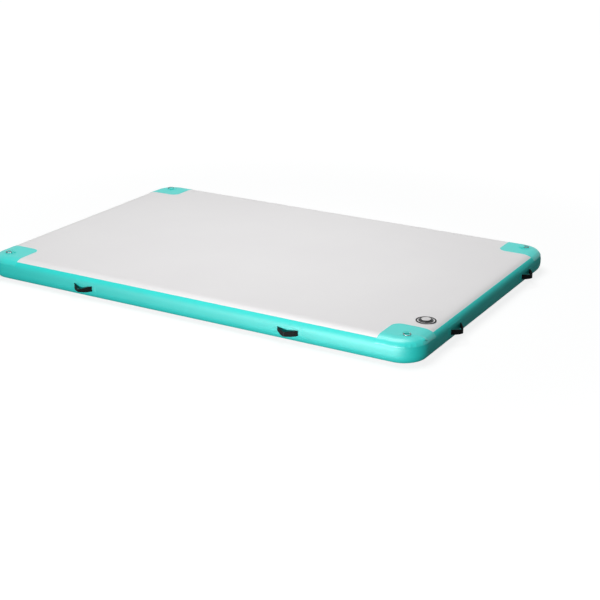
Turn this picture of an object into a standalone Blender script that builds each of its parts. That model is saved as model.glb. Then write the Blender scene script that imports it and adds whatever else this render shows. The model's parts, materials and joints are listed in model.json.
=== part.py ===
# Inflatable floating platform: a drop-stitch air mattress with a glued side band,
# reinforced corners with D-rings, webbing handles and a push-button air valve.
# Metres, +Z up. The origin is the centre of the underside, +X runs along the long side.

import math

import bmesh
import bpy
from mathutils import Matrix, Vector

# Overall size, measured over the side band
LENGTH = 3.04
WIDTH = 2.04
HEIGHT = 0.15

# Rounded edge: a superellipse from the flat deck round to the flat underside
RIM_DEPTH = 0.095
RIM_POWER = 2.70
CORNER_RADIUS = 0.158
ROWS_PER_QUARTER = 6
CORNER_STEPS = 6

# Sheets, and the glue line or running clearance between two pieces
CLEARANCE = 0.0003
SKIN_THICKNESS = 0.0009
BAND_THICKNESS = 0.0009
CLOTH_THICKNESS = 0.0006
WALL_THICKNESS = 0.0009

# Heights at which the sheets end, measured down from the deck
BAND_EDGE_DROP = 0.015
SKIN_LAP = 0.012
CLOTH_EDGE_DROP = 0.010
WALL_EDGE_DROP = 0.003

# Drop-stitch yarns, drawn as bundles on a wide grid
YARN_PITCH = 0.40
YARN_WIDTH = 0.006
YARN_CLEAR_RADIUS = 0.065

# Corner patches, folded over the rim
CORNER_PATCH_SIZE = 0.255
CORNER_PATCH_FILLET = 0.055
CORNER_PATCH_DROP = 0.040
CORNER_PATCH_THICKNESS = 0.0009
CORNER_FOLD_START = 0.005
CORNER_FOLD_END = 0.0012
FILLET_STEPS = 4

# D-rings, their round patches and webbing tabs
RING_INSET = 0.120
RING_PATCH_RADIUS = 0.038
RING_PATCH_THICKNESS = 0.0009
RING_WIRE = 0.0045
RING_INNER_WIDTH = 0.036
RING_BEND_RADIUS = 0.005
RING_ARM = 0.008
RING_BACKSET = 0.006
RING_SECTION_SIDES = 6
RING_ARC_STEPS = 8
BEND_STEPS = 3
TAB_THICKNESS = 0.0014
TAB_SIDE_CLEARANCE = 0.0006
TAB_TAIL = 0.026
TAB_LOOP_CLEARANCE = 0.0005
TAB_SLOPE = 0.009
TAB_WRAP = math.radians(210)
TAB_LOOP_STEPS = 9

# Webbing handles and their patches, placed from the ends of the platform's sides
HANDLE_END_INSET = 0.798
HANDLE_FRONT_INSET = 0.515
HANDLE_BACK_INSET = 0.415
HANDLE_PATCH_LENGTH = 0.185
HANDLE_PATCH_HEIGHT = 0.076
HANDLE_PATCH_FILLET = 0.016
HANDLE_PATCH_THICKNESS = 0.0026
STRAP_SPAN = 0.133
STRAP_REACH = 0.044
STRAP_DROOP = 0.005
STRAP_HEIGHT = 0.033
STRAP_FOLD_HEIGHT = 0.027
STRAP_THICKNESS = 0.0024
STRAP_BOW_POWER = 0.75
STRAP_STEPS = 7
STRAP_SWING = math.radians(30)
STRAP_SWING_MARGIN = math.radians(2)
TONGUE_HEIGHT = 0.004
TONGUE_DEPTH = 0.0008
SLIT_CLEARANCE = 0.0004
SLIT_HEIGHT = 0.010

# Valve, placed from the right edge and from the front edge
VALVE_EDGE_INSET = 0.118
VALVE_FRONT_INSET = 0.368
TURNED_STEPS = 24
VALVE_PATCH_RADIUS = 0.056
VALVE_PATCH_THICKNESS = 0.0009
TRIM_OUTER_RADIUS = 0.059
TRIM_WIDTH = 0.009
TRIM_THICKNESS = 0.0012
FLANGE_RADIUS = 0.043
FLANGE_THICKNESS = 0.0026
GASKET_THICKNESS = 0.0010
GASKET_EDGE = 0.0015
NECK_RADIUS = 0.026
NECK_LENGTH = 0.038
BORE_RADIUS = 0.021
SEAT_RADIUS = 0.0165
SEAT_THICKNESS = 0.004
HOLE_CLEARANCE = 0.0006
NUT_RADIUS = 0.036
NUT_THICKNESS = 0.006
NUT_DROP = 0.0014
SPIDER_TOP = -0.021
SPIDER_THICKNESS = 0.003
SPIDER_BAR_WIDTH = 0.003
SPIDER_HUB_RADIUS = 0.0058
SPIDER_BARS = 3
WELD = 0.0005
STEM_RADIUS = 0.0028
POPPET_RADIUS = 0.0192
POPPET_THICKNESS = 0.0025
SEAL_THICKNESS = 0.002
BUTTON_TOP = -0.0062
BUTTON_THICKNESS = 0.0036
BUTTON_LENGTH = 0.024
BUTTON_WIDTH = 0.016
STEM_RECESS = 0.0006
SPRING_RADIUS = 0.0052
SPRING_WIRE = 0.0012
SPRING_TURNS = 3.5
SPRING_STEPS = 10
SPRING_SIDES = 5

# Valve cap with its flip-over tether ring
PLUG_CLEARANCE = 0.0007
PLUG_DEPTH = 0.003
PLUG_WALL = 0.0042
CAP_GASKET_THICKNESS = 0.001
CAP_GASKET_WIDTH = 0.0042
SHOULDER_RADIUS = 0.0252
SHOULDER_THICKNESS = 0.001
WAIST_RADIUS = 0.024
TETHER_LIP_THICKNESS = 0.0012
TETHER_OUTER_RADIUS = 0.031
CAP_RADIUS = 0.0275
CAP_TOP_THICKNESS = 0.0016
CAP_DISH_RADIUS = 0.021
CAP_DISH_DEPTH = 0.0006
BARREL_RADIUS = 0.0018
BARREL_LENGTH = 0.014
BARREL_DIP = 0.0008
HINGE_RADIUS = 0.0362
LUG_WIDTH = 0.012
LIFT_TAB_WIDTH = 0.010
LIFT_TAB_REACH = 0.0055
BARREL_STEPS = 12

# How far cutters run past the piece they cut
OVERRUN = 0.004

# Layer offsets, from the outer face of the deck skin outwards
BAND_INNER = CLEARANCE
BAND_OUTER = BAND_INNER + BAND_THICKNESS
OVER_BAND = BAND_OUTER + CLEARANCE
CLOTH_OUTER = -SKIN_THICKNESS - CLEARANCE
CLOTH_INNER = CLOTH_OUTER - CLOTH_THICKNESS
WALL_OUTER = CLOTH_INNER - CLEARANCE
WALL_INNER = WALL_OUTER - WALL_THICKNESS
CORNER_PATCH_TOP = CLEARANCE + CORNER_PATCH_THICKNESS

# The spine is the rounded rectangle where the flat deck meets the rim
SKIN_DEPTH = RIM_DEPTH - BAND_OUTER
SPINE_X = LENGTH / 2 - RIM_DEPTH
SPINE_Y = WIDTH / 2 - RIM_DEPTH
SPINE_RADIUS = CORNER_RADIUS - RIM_DEPTH

SIDE_ANGLES = {
    "front": math.radians(270),
    "right": 0.0,
    "back": math.radians(90),
    "left": math.radians(180),
}
CORNER_SIGNS = {
    "front_left": (-1, -1),
    "front_right": (1, -1),
    "back_right": (1, 1),
    "back_left": (-1, 1),
}
HANDLES = {
    "front_left": ("front", HANDLE_END_INSET - LENGTH / 2),
    "front_right": ("front", LENGTH / 2 - HANDLE_END_INSET),
    "right_front": ("right", HANDLE_FRONT_INSET - WIDTH / 2),
    "right_back": ("right", WIDTH / 2 - HANDLE_BACK_INSET),
    "back_right": ("back", LENGTH / 2 - HANDLE_END_INSET),
    "back_left": ("back", HANDLE_END_INSET - LENGTH / 2),
    "left_back": ("left", WIDTH / 2 - HANDLE_BACK_INSET),
    "left_front": ("left", HANDLE_FRONT_INSET - WIDTH / 2),
}


# Materials

def linear(hex_colour):
    """Linear colour of an sRGB hex colour such as #74E2D6."""
    values = [int(hex_colour[i:i + 2], 16) / 255 for i in (1, 3, 5)]
    return [v / 12.92 if v <= 0.04045 else ((v + 0.055) / 1.055) ** 2.4 for v in values]


def make_material(name, hex_colour, roughness, metallic=0.0):
    """Principled material with one colour, roughness and metallic value."""
    material = bpy.data.materials.new(name)
    material.use_nodes = True
    shader = material.node_tree.nodes["Principled BSDF"]
    shader.inputs["Base Color"].default_value = (*linear(hex_colour), 1.0)
    shader.inputs["Roughness"].default_value = roughness
    shader.inputs["Metallic"].default_value = metallic
    return material


# Objects and modifiers

def add_object(name, bm, material=None, place=(0, 0, 0), turn=0.0):
    """Object from a bmesh, with its faces pointing out; no material means a guide."""
    bmesh.ops.recalc_face_normals(bm, faces=bm.faces)
    mesh = bpy.data.meshes.new(name)
    bm.to_mesh(mesh)
    bm.free()
    mesh.shade_smooth()
    mesh.set_sharp_from_angle(angle=math.radians(30))
    item = bpy.data.objects.new(name, mesh)
    bpy.context.scene.collection.objects.link(item)
    item.location = place
    item.rotation_euler = (0, 0, turn)
    if material:
        mesh.materials.append(material)
    else:
        item.hide_render = True
        item.display_type = "WIRE"
    return item


def boolean(item, operation, guide):
    """Boolean modifier that unites, cuts or trims an object with a guide."""
    modifier = item.modifiers.new(guide.name, "BOOLEAN")
    modifier.solver = "EXACT"
    modifier.operation = operation
    modifier.object = guide


def loft(bm, loops, closed=False):
    """Skin of quads over a row of loops, capped at both ends or closed on itself."""
    rings = [[bm.verts.new(point) for point in loop] for loop in loops]
    following = rings[1:] + rings[:1] if closed else rings[1:]
    for ring, after in zip(rings, following):
        for i in range(len(ring)):
            j = (i + 1) % len(ring)
            bm.faces.new((ring[i], ring[j], after[j], after[i]))
    if not closed:
        bm.faces.new(rings[0])
        bm.faces.new(rings[-1])


def lofted(name, loops, material=None, place=(0, 0, 0), turn=0.0, closed=False):
    """Object made of one loft."""
    bm = bmesh.new()
    loft(bm, loops, closed)
    return add_object(name, bm, material, place, turn)


def circle(radius, height, steps=TURNED_STEPS):
    """Level circle of points round the Z axis."""
    turns = [math.tau * i / steps for i in range(steps)]
    return [Vector((radius * math.cos(a), radius * math.sin(a), height)) for a in turns]


def turned(outline, steps=TURNED_STEPS):
    """Loops of a turned piece from its (radius, height) outline."""
    return [circle(radius, height, steps) for radius, height in outline]


def tube_outline(inner, outer, low, high):
    """Square (radius, height) outline of a plain ring."""
    return [(inner, low), (outer, low), (outer, high), (inner, high)]


def box_loops(x_range, y_range, z_range):
    """Two loops of a box, for a loft."""
    (x0, x1), (y0, y1) = x_range, y_range
    corners = ((x0, y0), (x1, y0), (x1, y1), (x0, y1))
    return [[Vector((x, y, z)) for x, y in corners] for z in z_range]


def rounded_rectangle(width, height, radius, steps=FILLET_STEPS):
    """Points (across, up) of a rounded rectangle about the origin."""
    points = []
    for quarter, (side, rise) in enumerate(((1, 1), (-1, 1), (-1, -1), (1, -1))):
        for step in range(steps + 1):
            angle = math.pi / 2 * (quarter + step / steps)
            across = side * (width / 2 - radius) + radius * math.cos(angle)
            points.append((across, rise * (height / 2 - radius) + radius * math.sin(angle)))
    return points


def ribbon(path, thickness):
    """Closed outline of a strip of even thickness along an open 2-D path."""
    left, right = [], []
    for i, point in enumerate(path):
        before = (point - path[i - 1]).normalized() if i else None
        after = (path[i + 1] - point).normalized() if i + 1 < len(path) else before
        before = before or after
        middle = (before + after).normalized()
        mitre = Vector((-middle.y, middle.x)) / middle.dot(after)
        left.append(point + mitre * thickness / 2)
        right.append(point - mitre * thickness / 2)
    return left, right


# The edge of the inflated body

ROW_ANGLES = [
    math.pi / 2 * (1 - row / ROWS_PER_QUARTER) for row in range(2 * ROWS_PER_QUARTER + 1)
]


def rim_row(angle, offset):
    """(depth past the spine, height) on the rim's section, moved out along its normal."""
    power = 2 / RIM_POWER
    across = abs(math.cos(angle)) ** power
    upwards = math.copysign(abs(math.sin(angle)) ** power, angle)
    normal = Vector((
        across ** (RIM_POWER - 1) / SKIN_DEPTH,
        math.copysign(abs(upwards) ** (RIM_POWER - 1), upwards) / (HEIGHT / 2),
    )).normalized()
    return Vector((SKIN_DEPTH * across, HEIGHT / 2 * (1 + upwards))) + normal * offset


def rim_section(top, bottom, offset):
    """Rim rows between two heights, which are measured on the deck skin's outer face."""
    nominal = [rim_row(angle, 0) for angle in ROW_ANGLES]
    rows = [rim_row(angle, offset) for angle in ROW_ANGLES]

    def cut(height):
        for i in range(len(rows) - 1):
            drop = nominal[i].y - nominal[i + 1].y
            share = (nominal[i].y - height) / drop
            if share <= 1:
                return rows[i].lerp(rows[i + 1], share)
        return rows[-1]

    between = [row for row, mark in zip(rows, nominal) if top > mark.y > bottom]
    return [cut(top), *between, cut(bottom)]


def side_stations(side):
    """Spine points with their outward directions, from mid corner to mid corner."""
    half = CORNER_STEPS // 2
    stations = []
    for turn, steps in ((-1, range(-half, 1)), (1, range(half + 1))):
        diagonal = SIDE_ANGLES[side] + turn * math.pi / 4
        centre = Vector((
            math.copysign(SPINE_X - SPINE_RADIUS, math.cos(diagonal)),
            math.copysign(SPINE_Y - SPINE_RADIUS, math.sin(diagonal)),
        ))
        for step in steps:
            angle = SIDE_ANGLES[side] + step * math.pi / 2 / CORNER_STEPS
            outward = Vector((math.cos(angle), math.sin(angle)))
            stations.append((centre + outward * SPINE_RADIUS, outward))
    return stations


RING_STATIONS = [station for side in SIDE_ANGLES for station in side_stations(side)[:-1]]


def station_point(station, row):
    """Point at a station of the spine and a row of the rim's section."""
    spot, outward = station
    flat = spot + outward * row.x
    return Vector((flat.x, flat.y, row.y))


def ring_loops(rows):
    """Loops right round the platform, one for each row of the rim's section."""
    return [[station_point(station, row) for station in RING_STATIONS] for row in rows]


def envelope(name, offset, material=None):
    """Whole inflated body at one offset: a guide that trims sheets to its surface."""
    return lofted(name, ring_loops(rim_section(HEIGHT, 0, offset)), material)


def flipped(loops):
    """Loops mirrored about mid height, from the deck to the underside."""
    return [[Vector((p.x, p.y, HEIGHT - p.z)) for p in loop] for loop in loops]


def deck_sheet_loops(edge, outer, inner):
    """Loops of a sheet that covers the deck and wraps down to the height of its edge."""
    outside = rim_section(HEIGHT, edge, outer)
    inside = rim_section(HEIGHT, edge, inner)
    return ring_loops(outside + inside[::-1])


def conformal_patch(name, region, inner, outer, material):
    """Sheet between two offsets of the body, trimmed to the region of a guide."""
    item = envelope(name, outer, material)
    boolean(item, "INTERSECT", region)
    boolean(item, "DIFFERENCE", envelope(name + "_underside", inner))
    return item


# Air chamber

def make_core(material, valve_hole):
    """Two base cloths joined by yarn bundles, as one drop-stitch body."""
    cloth = deck_sheet_loops(HEIGHT - CLOTH_EDGE_DROP, CLOTH_OUTER, CLOTH_INNER)
    bm = bmesh.new()
    loft(bm, cloth)
    loft(bm, flipped(cloth))
    core = add_object("drop_stitch_core", bm, material)
    posts = bmesh.new()
    half = YARN_WIDTH / 2
    # Each bundle ends halfway through the cloth that it is woven into
    top = HEIGHT + (CLOTH_OUTER + CLOTH_INNER) / 2
    columns = math.floor(2 * (SPINE_X - YARN_WIDTH) / YARN_PITCH)
    lines = math.floor(2 * (SPINE_Y - YARN_WIDTH) / YARN_PITCH)
    for column in range(columns + 1):
        for line in range(lines + 1):
            x = (column - columns / 2) * YARN_PITCH
            y = (line - lines / 2) * YARN_PITCH
            if math.hypot(x - VALVE_X, y - VALVE_Y) > YARN_CLEAR_RADIUS:
                sides = (x - half, x + half), (y - half, y + half)
                loft(posts, box_loops(*sides, (HEIGHT - top, top)))
    boolean(core, "UNION", add_object("yarn_guide", posts))
    boolean(core, "DIFFERENCE", valve_hole)
    return core


def make_skins(material, valve_hole):
    """Coated skins over the deck and the underside; both tuck under the side band."""
    edge = HEIGHT - BAND_EDGE_DROP - SKIN_LAP
    loops = deck_sheet_loops(edge, 0, -SKIN_THICKNESS)
    top = lofted("top_skin", loops, material)
    boolean(top, "DIFFERENCE", valve_hole)
    lofted("bottom_skin", flipped(loops), material)


def make_strips(prefix, edge_drop, inner, outer, material):
    """Strips round the edge, one for each side, that meet in the middle of a corner."""
    outside = rim_section(HEIGHT - edge_drop, edge_drop, outer)
    inside = rim_section(HEIGHT - edge_drop, edge_drop, inner)
    for side in SIDE_ANGLES:
        stations = side_stations(side)
        for end, back in ((0, 1), (-1, -1)):
            spot, outward = stations[end]
            along = Vector((-outward.y, outward.x)) * back
            stations[end] = (spot + along * CLEARANCE / 2, outward)
        section = outside + inside[::-1]
        loops = [[station_point(station, row) for row in section] for station in stations]
        lofted(f"{prefix}_{side}", loops, material)


# Corners

def corner_patch_points(on_skin, on_band):
    """Rim rows and inner outline of the patch on the back right corner, at two offsets."""
    fold = HEIGHT - BAND_EDGE_DROP
    rows = rim_section(HEIGHT, fold + CORNER_FOLD_START, on_skin)
    rows += rim_section(fold + CORNER_FOLD_END, HEIGHT - CORNER_PATCH_DROP, on_band)
    x_edge = LENGTH / 2 - CORNER_PATCH_SIZE
    y_edge = WIDTH / 2 - CORNER_PATCH_SIZE
    half = CORNER_STEPS // 2
    stations = [(Vector((SPINE_X, y_edge)), Vector((1, 0)))]
    stations += side_stations("right")[half + 1:-1]
    stations += side_stations("back")[:half + 1]
    stations += [(Vector((x_edge, SPINE_Y)), Vector((0, 1)))]
    points = [station_point(station, row) for row in rows for station in stations]
    for step in range(FILLET_STEPS + 1):
        angle = math.pi + math.pi / 2 * step / FILLET_STEPS
        points.append(Vector((
            x_edge + CORNER_PATCH_FILLET * (1 + math.cos(angle)),
            y_edge + CORNER_PATCH_FILLET * (1 + math.sin(angle)),
            HEIGHT + on_skin,
        )))
    return points, len(rows), len(stations)


def make_corner_patches(material):
    """One folded sheet for each corner."""
    inner, row_count, count = corner_patch_points(CLEARANCE, OVER_BAND)
    outer = corner_patch_points(CORNER_PATCH_TOP, OVER_BAND + CORNER_PATCH_THICKNESS)[0]
    faces = [tuple(range(count)) + tuple(range(row_count * count, len(inner)))]
    for row in range(row_count - 1):
        for i in range(count - 1):
            start = row * count + i
            faces.append((start, start + 1, start + 1 + count, start + count))
    for corner, (side_x, side_y) in CORNER_SIGNS.items():
        bm = bmesh.new()
        upper = [bm.verts.new((side_x * p.x, side_y * p.y, p.z)) for p in outer]
        lower = [bm.verts.new((side_x * p.x, side_y * p.y, p.z)) for p in inner]
        twin = dict(zip(upper, lower))
        for face in faces:
            bm.faces.new([upper[i] for i in face])
        rim = [edge.verts[:] for edge in bm.edges if edge.is_boundary]
        for face in faces:
            bm.faces.new([lower[i] for i in reversed(face)])
        for first, second in rim:
            bm.faces.new((first, second, twin[second], twin[first]))
        add_object(f"corner_patch_{corner}", bm, material)


def d_ring_path():
    """Centre line of a D-ring, bar on the X axis, from bar end round to bar start."""
    half = (RING_INNER_WIDTH + RING_WIRE) / 2
    arm = RING_BEND_RADIUS + RING_ARM
    arcs = (
        (half - RING_BEND_RADIUS, RING_BEND_RADIUS, RING_BEND_RADIUS, -90, 0, BEND_STEPS),
        (0, arm, half, 0, 180, RING_ARC_STEPS),
        (RING_BEND_RADIUS - half, RING_BEND_RADIUS, RING_BEND_RADIUS, 180, 270, BEND_STEPS),
    )
    path = []
    for x, y, radius, start, end, steps in arcs:
        for step in range(steps + 1):
            angle = math.radians(start + (end - start) * step / steps)
            path.append(Vector((x + radius * math.cos(angle), y + radius * math.sin(angle), 0)))
    return path


def d_ring_loops(tilt):
    """Round wire sections along the D, tipped down about its bar."""
    path = d_ring_path()
    radius = RING_WIRE / 2
    tip = Matrix.Rotation(-tilt, 3, "X")
    loops = []
    for i, point in enumerate(path):
        before = (point - path[i - 1]).normalized()
        after = (path[(i + 1) % len(path)] - point).normalized()
        middle = (before + after).normalized()
        across = Vector((-middle.y, middle.x, 0)) / middle.dot(after)
        loop = []
        for side in range(RING_SECTION_SIDES):
            angle = math.tau * side / RING_SECTION_SIDES
            offset = across * math.cos(angle) + Vector((0, 0, math.sin(angle)))
            loop.append(tip @ (point + offset * radius))
        loops.append(loop)
    return loops


def tab_loops():
    """Webbing folded round the bar: a strip outline in the YZ plane, as wide as the tab."""
    radius = RING_WIRE / 2 + TAB_LOOP_CLEARANCE + TAB_THICKNESS / 2
    lapped = CLEARANCE + TAB_THICKNESS - radius
    path = [Vector((-TAB_TAIL, -radius)), Vector((-TAB_SLOPE, -radius))]
    for step in range(TAB_LOOP_STEPS + 1):
        angle = TAB_WRAP * step / TAB_LOOP_STEPS - math.pi / 2
        path.append(Vector((radius * math.cos(angle), radius * math.sin(angle))))
    path += [Vector((-TAB_SLOPE, lapped)), Vector((-TAB_TAIL, lapped))]
    left, right = ribbon(path, TAB_THICKNESS)
    outline = left + right[::-1]
    half = RING_INNER_WIDTH / 2 - RING_BEND_RADIUS + RING_WIRE / 2 - TAB_SIDE_CLEARANCE
    return [[Vector((x, p.x, p.y)) for p in outline] for x in (-half, half)]


def make_d_rings(patch_material, webbing, steel):
    """Round patch, webbing tab and hinged D-ring on each corner."""
    patch_base = CORNER_PATCH_TOP + CLEARANCE
    tab_base = HEIGHT + patch_base + RING_PATCH_THICKNESS + CLEARANCE
    bar_height = tab_base + RING_WIRE / 2 + TAB_LOOP_CLEARANCE + TAB_THICKNESS
    drop = bar_height - RING_WIRE / 2 - tab_base
    reach = RING_BEND_RADIUS + RING_ARM + (RING_INNER_WIDTH + RING_WIRE) / 2
    tilt = math.asin(drop / reach)
    for corner, (side_x, side_y) in CORNER_SIGNS.items():
        x = side_x * (LENGTH / 2 - RING_INSET)
        y = side_y * (WIDTH / 2 - RING_INSET)
        column = turned(((RING_PATCH_RADIUS, HEIGHT / 2), (RING_PATCH_RADIUS, HEIGHT + OVERRUN)))
        region = lofted(f"d_ring_patch_{corner}_outline", column, place=(x, y, 0))
        patch_top = patch_base + RING_PATCH_THICKNESS
        name = f"d_ring_patch_{corner}"
        conformal_patch(name, region, patch_base, patch_top, patch_material)
        # The ring points at the corner, and its bar sits a little inside the patch centre
        turn = math.atan2(side_y, side_x) - math.pi / 2
        outward = Vector((side_x, side_y)).normalized()
        bar = Vector((x, y)) - outward * RING_BACKSET
        place = (bar.x, bar.y, bar_height)
        lofted(f"d_ring_tab_{corner}", tab_loops(), webbing, place, turn)
        lofted(f"d_ring_{corner}", d_ring_loops(tilt), steel, place, turn, closed=True)


# Handles

def strap_loops():
    """Sections of a bowed strap: X along the wall, Y outward, origin on the swing axis."""
    half = STRAP_SPAN / 2
    # The rigid strap swings about its tongues, so its ends narrow towards the wall
    throat = CLEARANCE + TONGUE_HEIGHT / 2 * math.sin(STRAP_SWING)
    throat /= math.cos(STRAP_SWING)
    taper = math.tan(STRAP_SWING + STRAP_SWING_MARGIN)
    steps = [step / STRAP_STEPS for step in range(1, STRAP_STEPS + 1)]
    bow = [(half * (1 - u), throat + (STRAP_REACH - throat) * u ** STRAP_BOW_POWER) for u in steps]
    shoulder = throat + (STRAP_HEIGHT - TONGUE_HEIGHT) / 2 * taper
    share = ((shoulder - throat) / (STRAP_REACH - throat)) ** (1 / STRAP_BOW_POWER)
    arm = [(half, -TONGUE_DEPTH), (half, throat), (half * (1 - share), shoulder)]
    arm += [point for point in bow if point[1] > shoulder + STRAP_THICKNESS]
    path = [Vector(point) for point in arm]
    path += [Vector((-x, y)) for x, y in arm[-2::-1]]
    left, right = ribbon(path, STRAP_THICKNESS)
    loops = []
    for point, one, other in zip(path, left, right):
        out = max(point.y - throat, 0)
        swell = min(TONGUE_HEIGHT / 2 + out / taper, STRAP_HEIGHT / 2)
        bend = out / (STRAP_REACH - throat)
        narrow = (STRAP_HEIGHT - STRAP_FOLD_HEIGHT) / 2 * bend ** 2
        high = swell - narrow - STRAP_DROOP * bend
        low = narrow - swell - STRAP_DROOP * bend
        corners = ((one, low), (other, low), (other, high), (one, high))
        loops.append([Vector((p.x, p.y, z)) for p, z in corners])
    return loops


def make_handles(patch_material, webbing):
    """Patch with two slits, and a strap that swings about the line through them."""
    outline = rounded_rectangle(HANDLE_PATCH_LENGTH, HANDLE_PATCH_HEIGHT, HANDLE_PATCH_FILLET)
    slit = STRAP_THICKNESS / 2 + SLIT_CLEARANCE
    for name, (side, along) in HANDLES.items():
        angle = SIDE_ANGLES[side]
        outward = Vector((math.cos(angle), math.sin(angle)))
        wall = LENGTH / 2 if side in ("left", "right") else WIDTH / 2
        spot = outward * (wall + CLEARANCE + HANDLE_PATCH_THICKNESS)
        spot += Vector((abs(outward.y), abs(outward.x))) * along
        place = (spot.x, spot.y, HEIGHT / 2)
        turn = angle - math.pi / 2
        depths = (-RIM_DEPTH / 2, OVERRUN)
        plate = [[Vector((x, y, z)) for x, z in outline] for y in depths]
        region = lofted(f"handle_patch_{name}_outline", plate, place=place, turn=turn)
        outer = OVER_BAND + HANDLE_PATCH_THICKNESS
        patch = conformal_patch(f"handle_patch_{name}", region, OVER_BAND, outer, patch_material)
        slits = bmesh.new()
        for end in (-STRAP_SPAN / 2, STRAP_SPAN / 2):
            height = (-SLIT_HEIGHT / 2, SLIT_HEIGHT / 2)
            loft(slits, box_loops((end - slit, end + slit), (-OVERRUN, OVERRUN), height))
        boolean(patch, "DIFFERENCE", add_object(f"handle_slits_{name}", slits, None, place, turn))
        lofted(f"handle_strap_{name}", strap_loops(), webbing, place, turn)


# Valve, built about its own axis with zero height at the underside of its flange

VALVE_X = LENGTH / 2 - VALVE_EDGE_INSET
VALVE_Y = VALVE_FRONT_INSET - WIDTH / 2
VALVE_PATCH_TOP = CLEARANCE + VALVE_PATCH_THICKNESS
VALVE_Z = HEIGHT + VALVE_PATCH_TOP + 2 * CLEARANCE + GASKET_THICKNESS
VALVE_PLACE = (VALVE_X, VALVE_Y, VALVE_Z)
HOLE_RADIUS = NECK_RADIUS + HOLE_CLEARANCE


def make_valve_hole():
    """Round guide that cuts the neck's hole through skin, cloth and patch."""
    column = turned(((HOLE_RADIUS, HEIGHT - OVERRUN), (HOLE_RADIUS, HEIGHT + OVERRUN)))
    return lofted("valve_hole", column, place=(VALVE_X, VALVE_Y, 0))


def make_valve_surround(patch_material, trim_material, rubber, valve_hole):
    """Round patch, raised trim ring and flange gasket on the deck."""
    column = turned(((VALVE_PATCH_RADIUS, HEIGHT / 2), (VALVE_PATCH_RADIUS, HEIGHT + OVERRUN)))
    region = lofted("valve_patch_outline", column, place=(VALVE_X, VALVE_Y, 0))
    patch = conformal_patch("valve_patch", region, CLEARANCE, VALVE_PATCH_TOP, patch_material)
    boolean(patch, "DIFFERENCE", valve_hole)
    inner = TRIM_OUTER_RADIUS - TRIM_WIDTH
    outline = tube_outline(inner, TRIM_OUTER_RADIUS, HEIGHT / 2, HEIGHT + 2 * OVERRUN)
    region = lofted("valve_trim_outline", turned(outline), place=(VALVE_X, VALVE_Y, 0), closed=True)
    base = VALVE_PATCH_TOP + CLEARANCE
    conformal_patch("valve_trim_ring", region, base, base + TRIM_THICKNESS, trim_material)
    low = -CLEARANCE - GASKET_THICKNESS
    outline = tube_outline(HOLE_RADIUS, FLANGE_RADIUS - GASKET_EDGE, low, -CLEARANCE)
    lofted("valve_gasket", turned(outline), rubber, VALVE_PLACE, closed=True)


def make_housing(material):
    """Flange, neck and seat, with a spider that guides the stem."""
    outline = [
        (FLANGE_RADIUS, 0),
        (FLANGE_RADIUS, FLANGE_THICKNESS),
        (BORE_RADIUS, FLANGE_THICKNESS),
        (BORE_RADIUS, SEAT_THICKNESS - NECK_LENGTH),
        (SEAT_RADIUS, SEAT_THICKNESS - NECK_LENGTH),
        (SEAT_RADIUS, -NECK_LENGTH),
        (NECK_RADIUS, -NECK_LENGTH),
        (NECK_RADIUS, 0),
    ]
    housing = lofted("valve_housing", turned(outline), material, VALVE_PLACE, closed=True)
    low = SPIDER_TOP - SPIDER_THICKNESS
    guide_radius = STEM_RADIUS + CLEARANCE
    hub = lofted(
        "spider_hub",
        turned(tube_outline(guide_radius, SPIDER_HUB_RADIUS, low, SPIDER_TOP)),
        place=VALVE_PLACE,
        closed=True,
    )
    half = SPIDER_BAR_WIDTH / 2
    for bar in range(SPIDER_BARS):
        reach = (SPIDER_HUB_RADIUS - WELD, BORE_RADIUS + WELD)
        loops = box_loops(reach, (-half, half), (low + WELD, SPIDER_TOP - WELD))
        turn = math.tau * bar / SPIDER_BARS
        boolean(hub, "UNION", lofted(f"spider_bar_{bar}", loops, None, VALVE_PLACE, turn))
    boolean(housing, "UNION", hub)
    # A shallow trough in the flange takes the barrel of the cap's tether
    trough = barrel_loops(BARREL_RADIUS + CLEARANCE, BARREL_LENGTH + 2 * CLEARANCE)
    boolean(housing, "DIFFERENCE", lofted("barrel_trough", trough, place=VALVE_PLACE))


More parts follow.
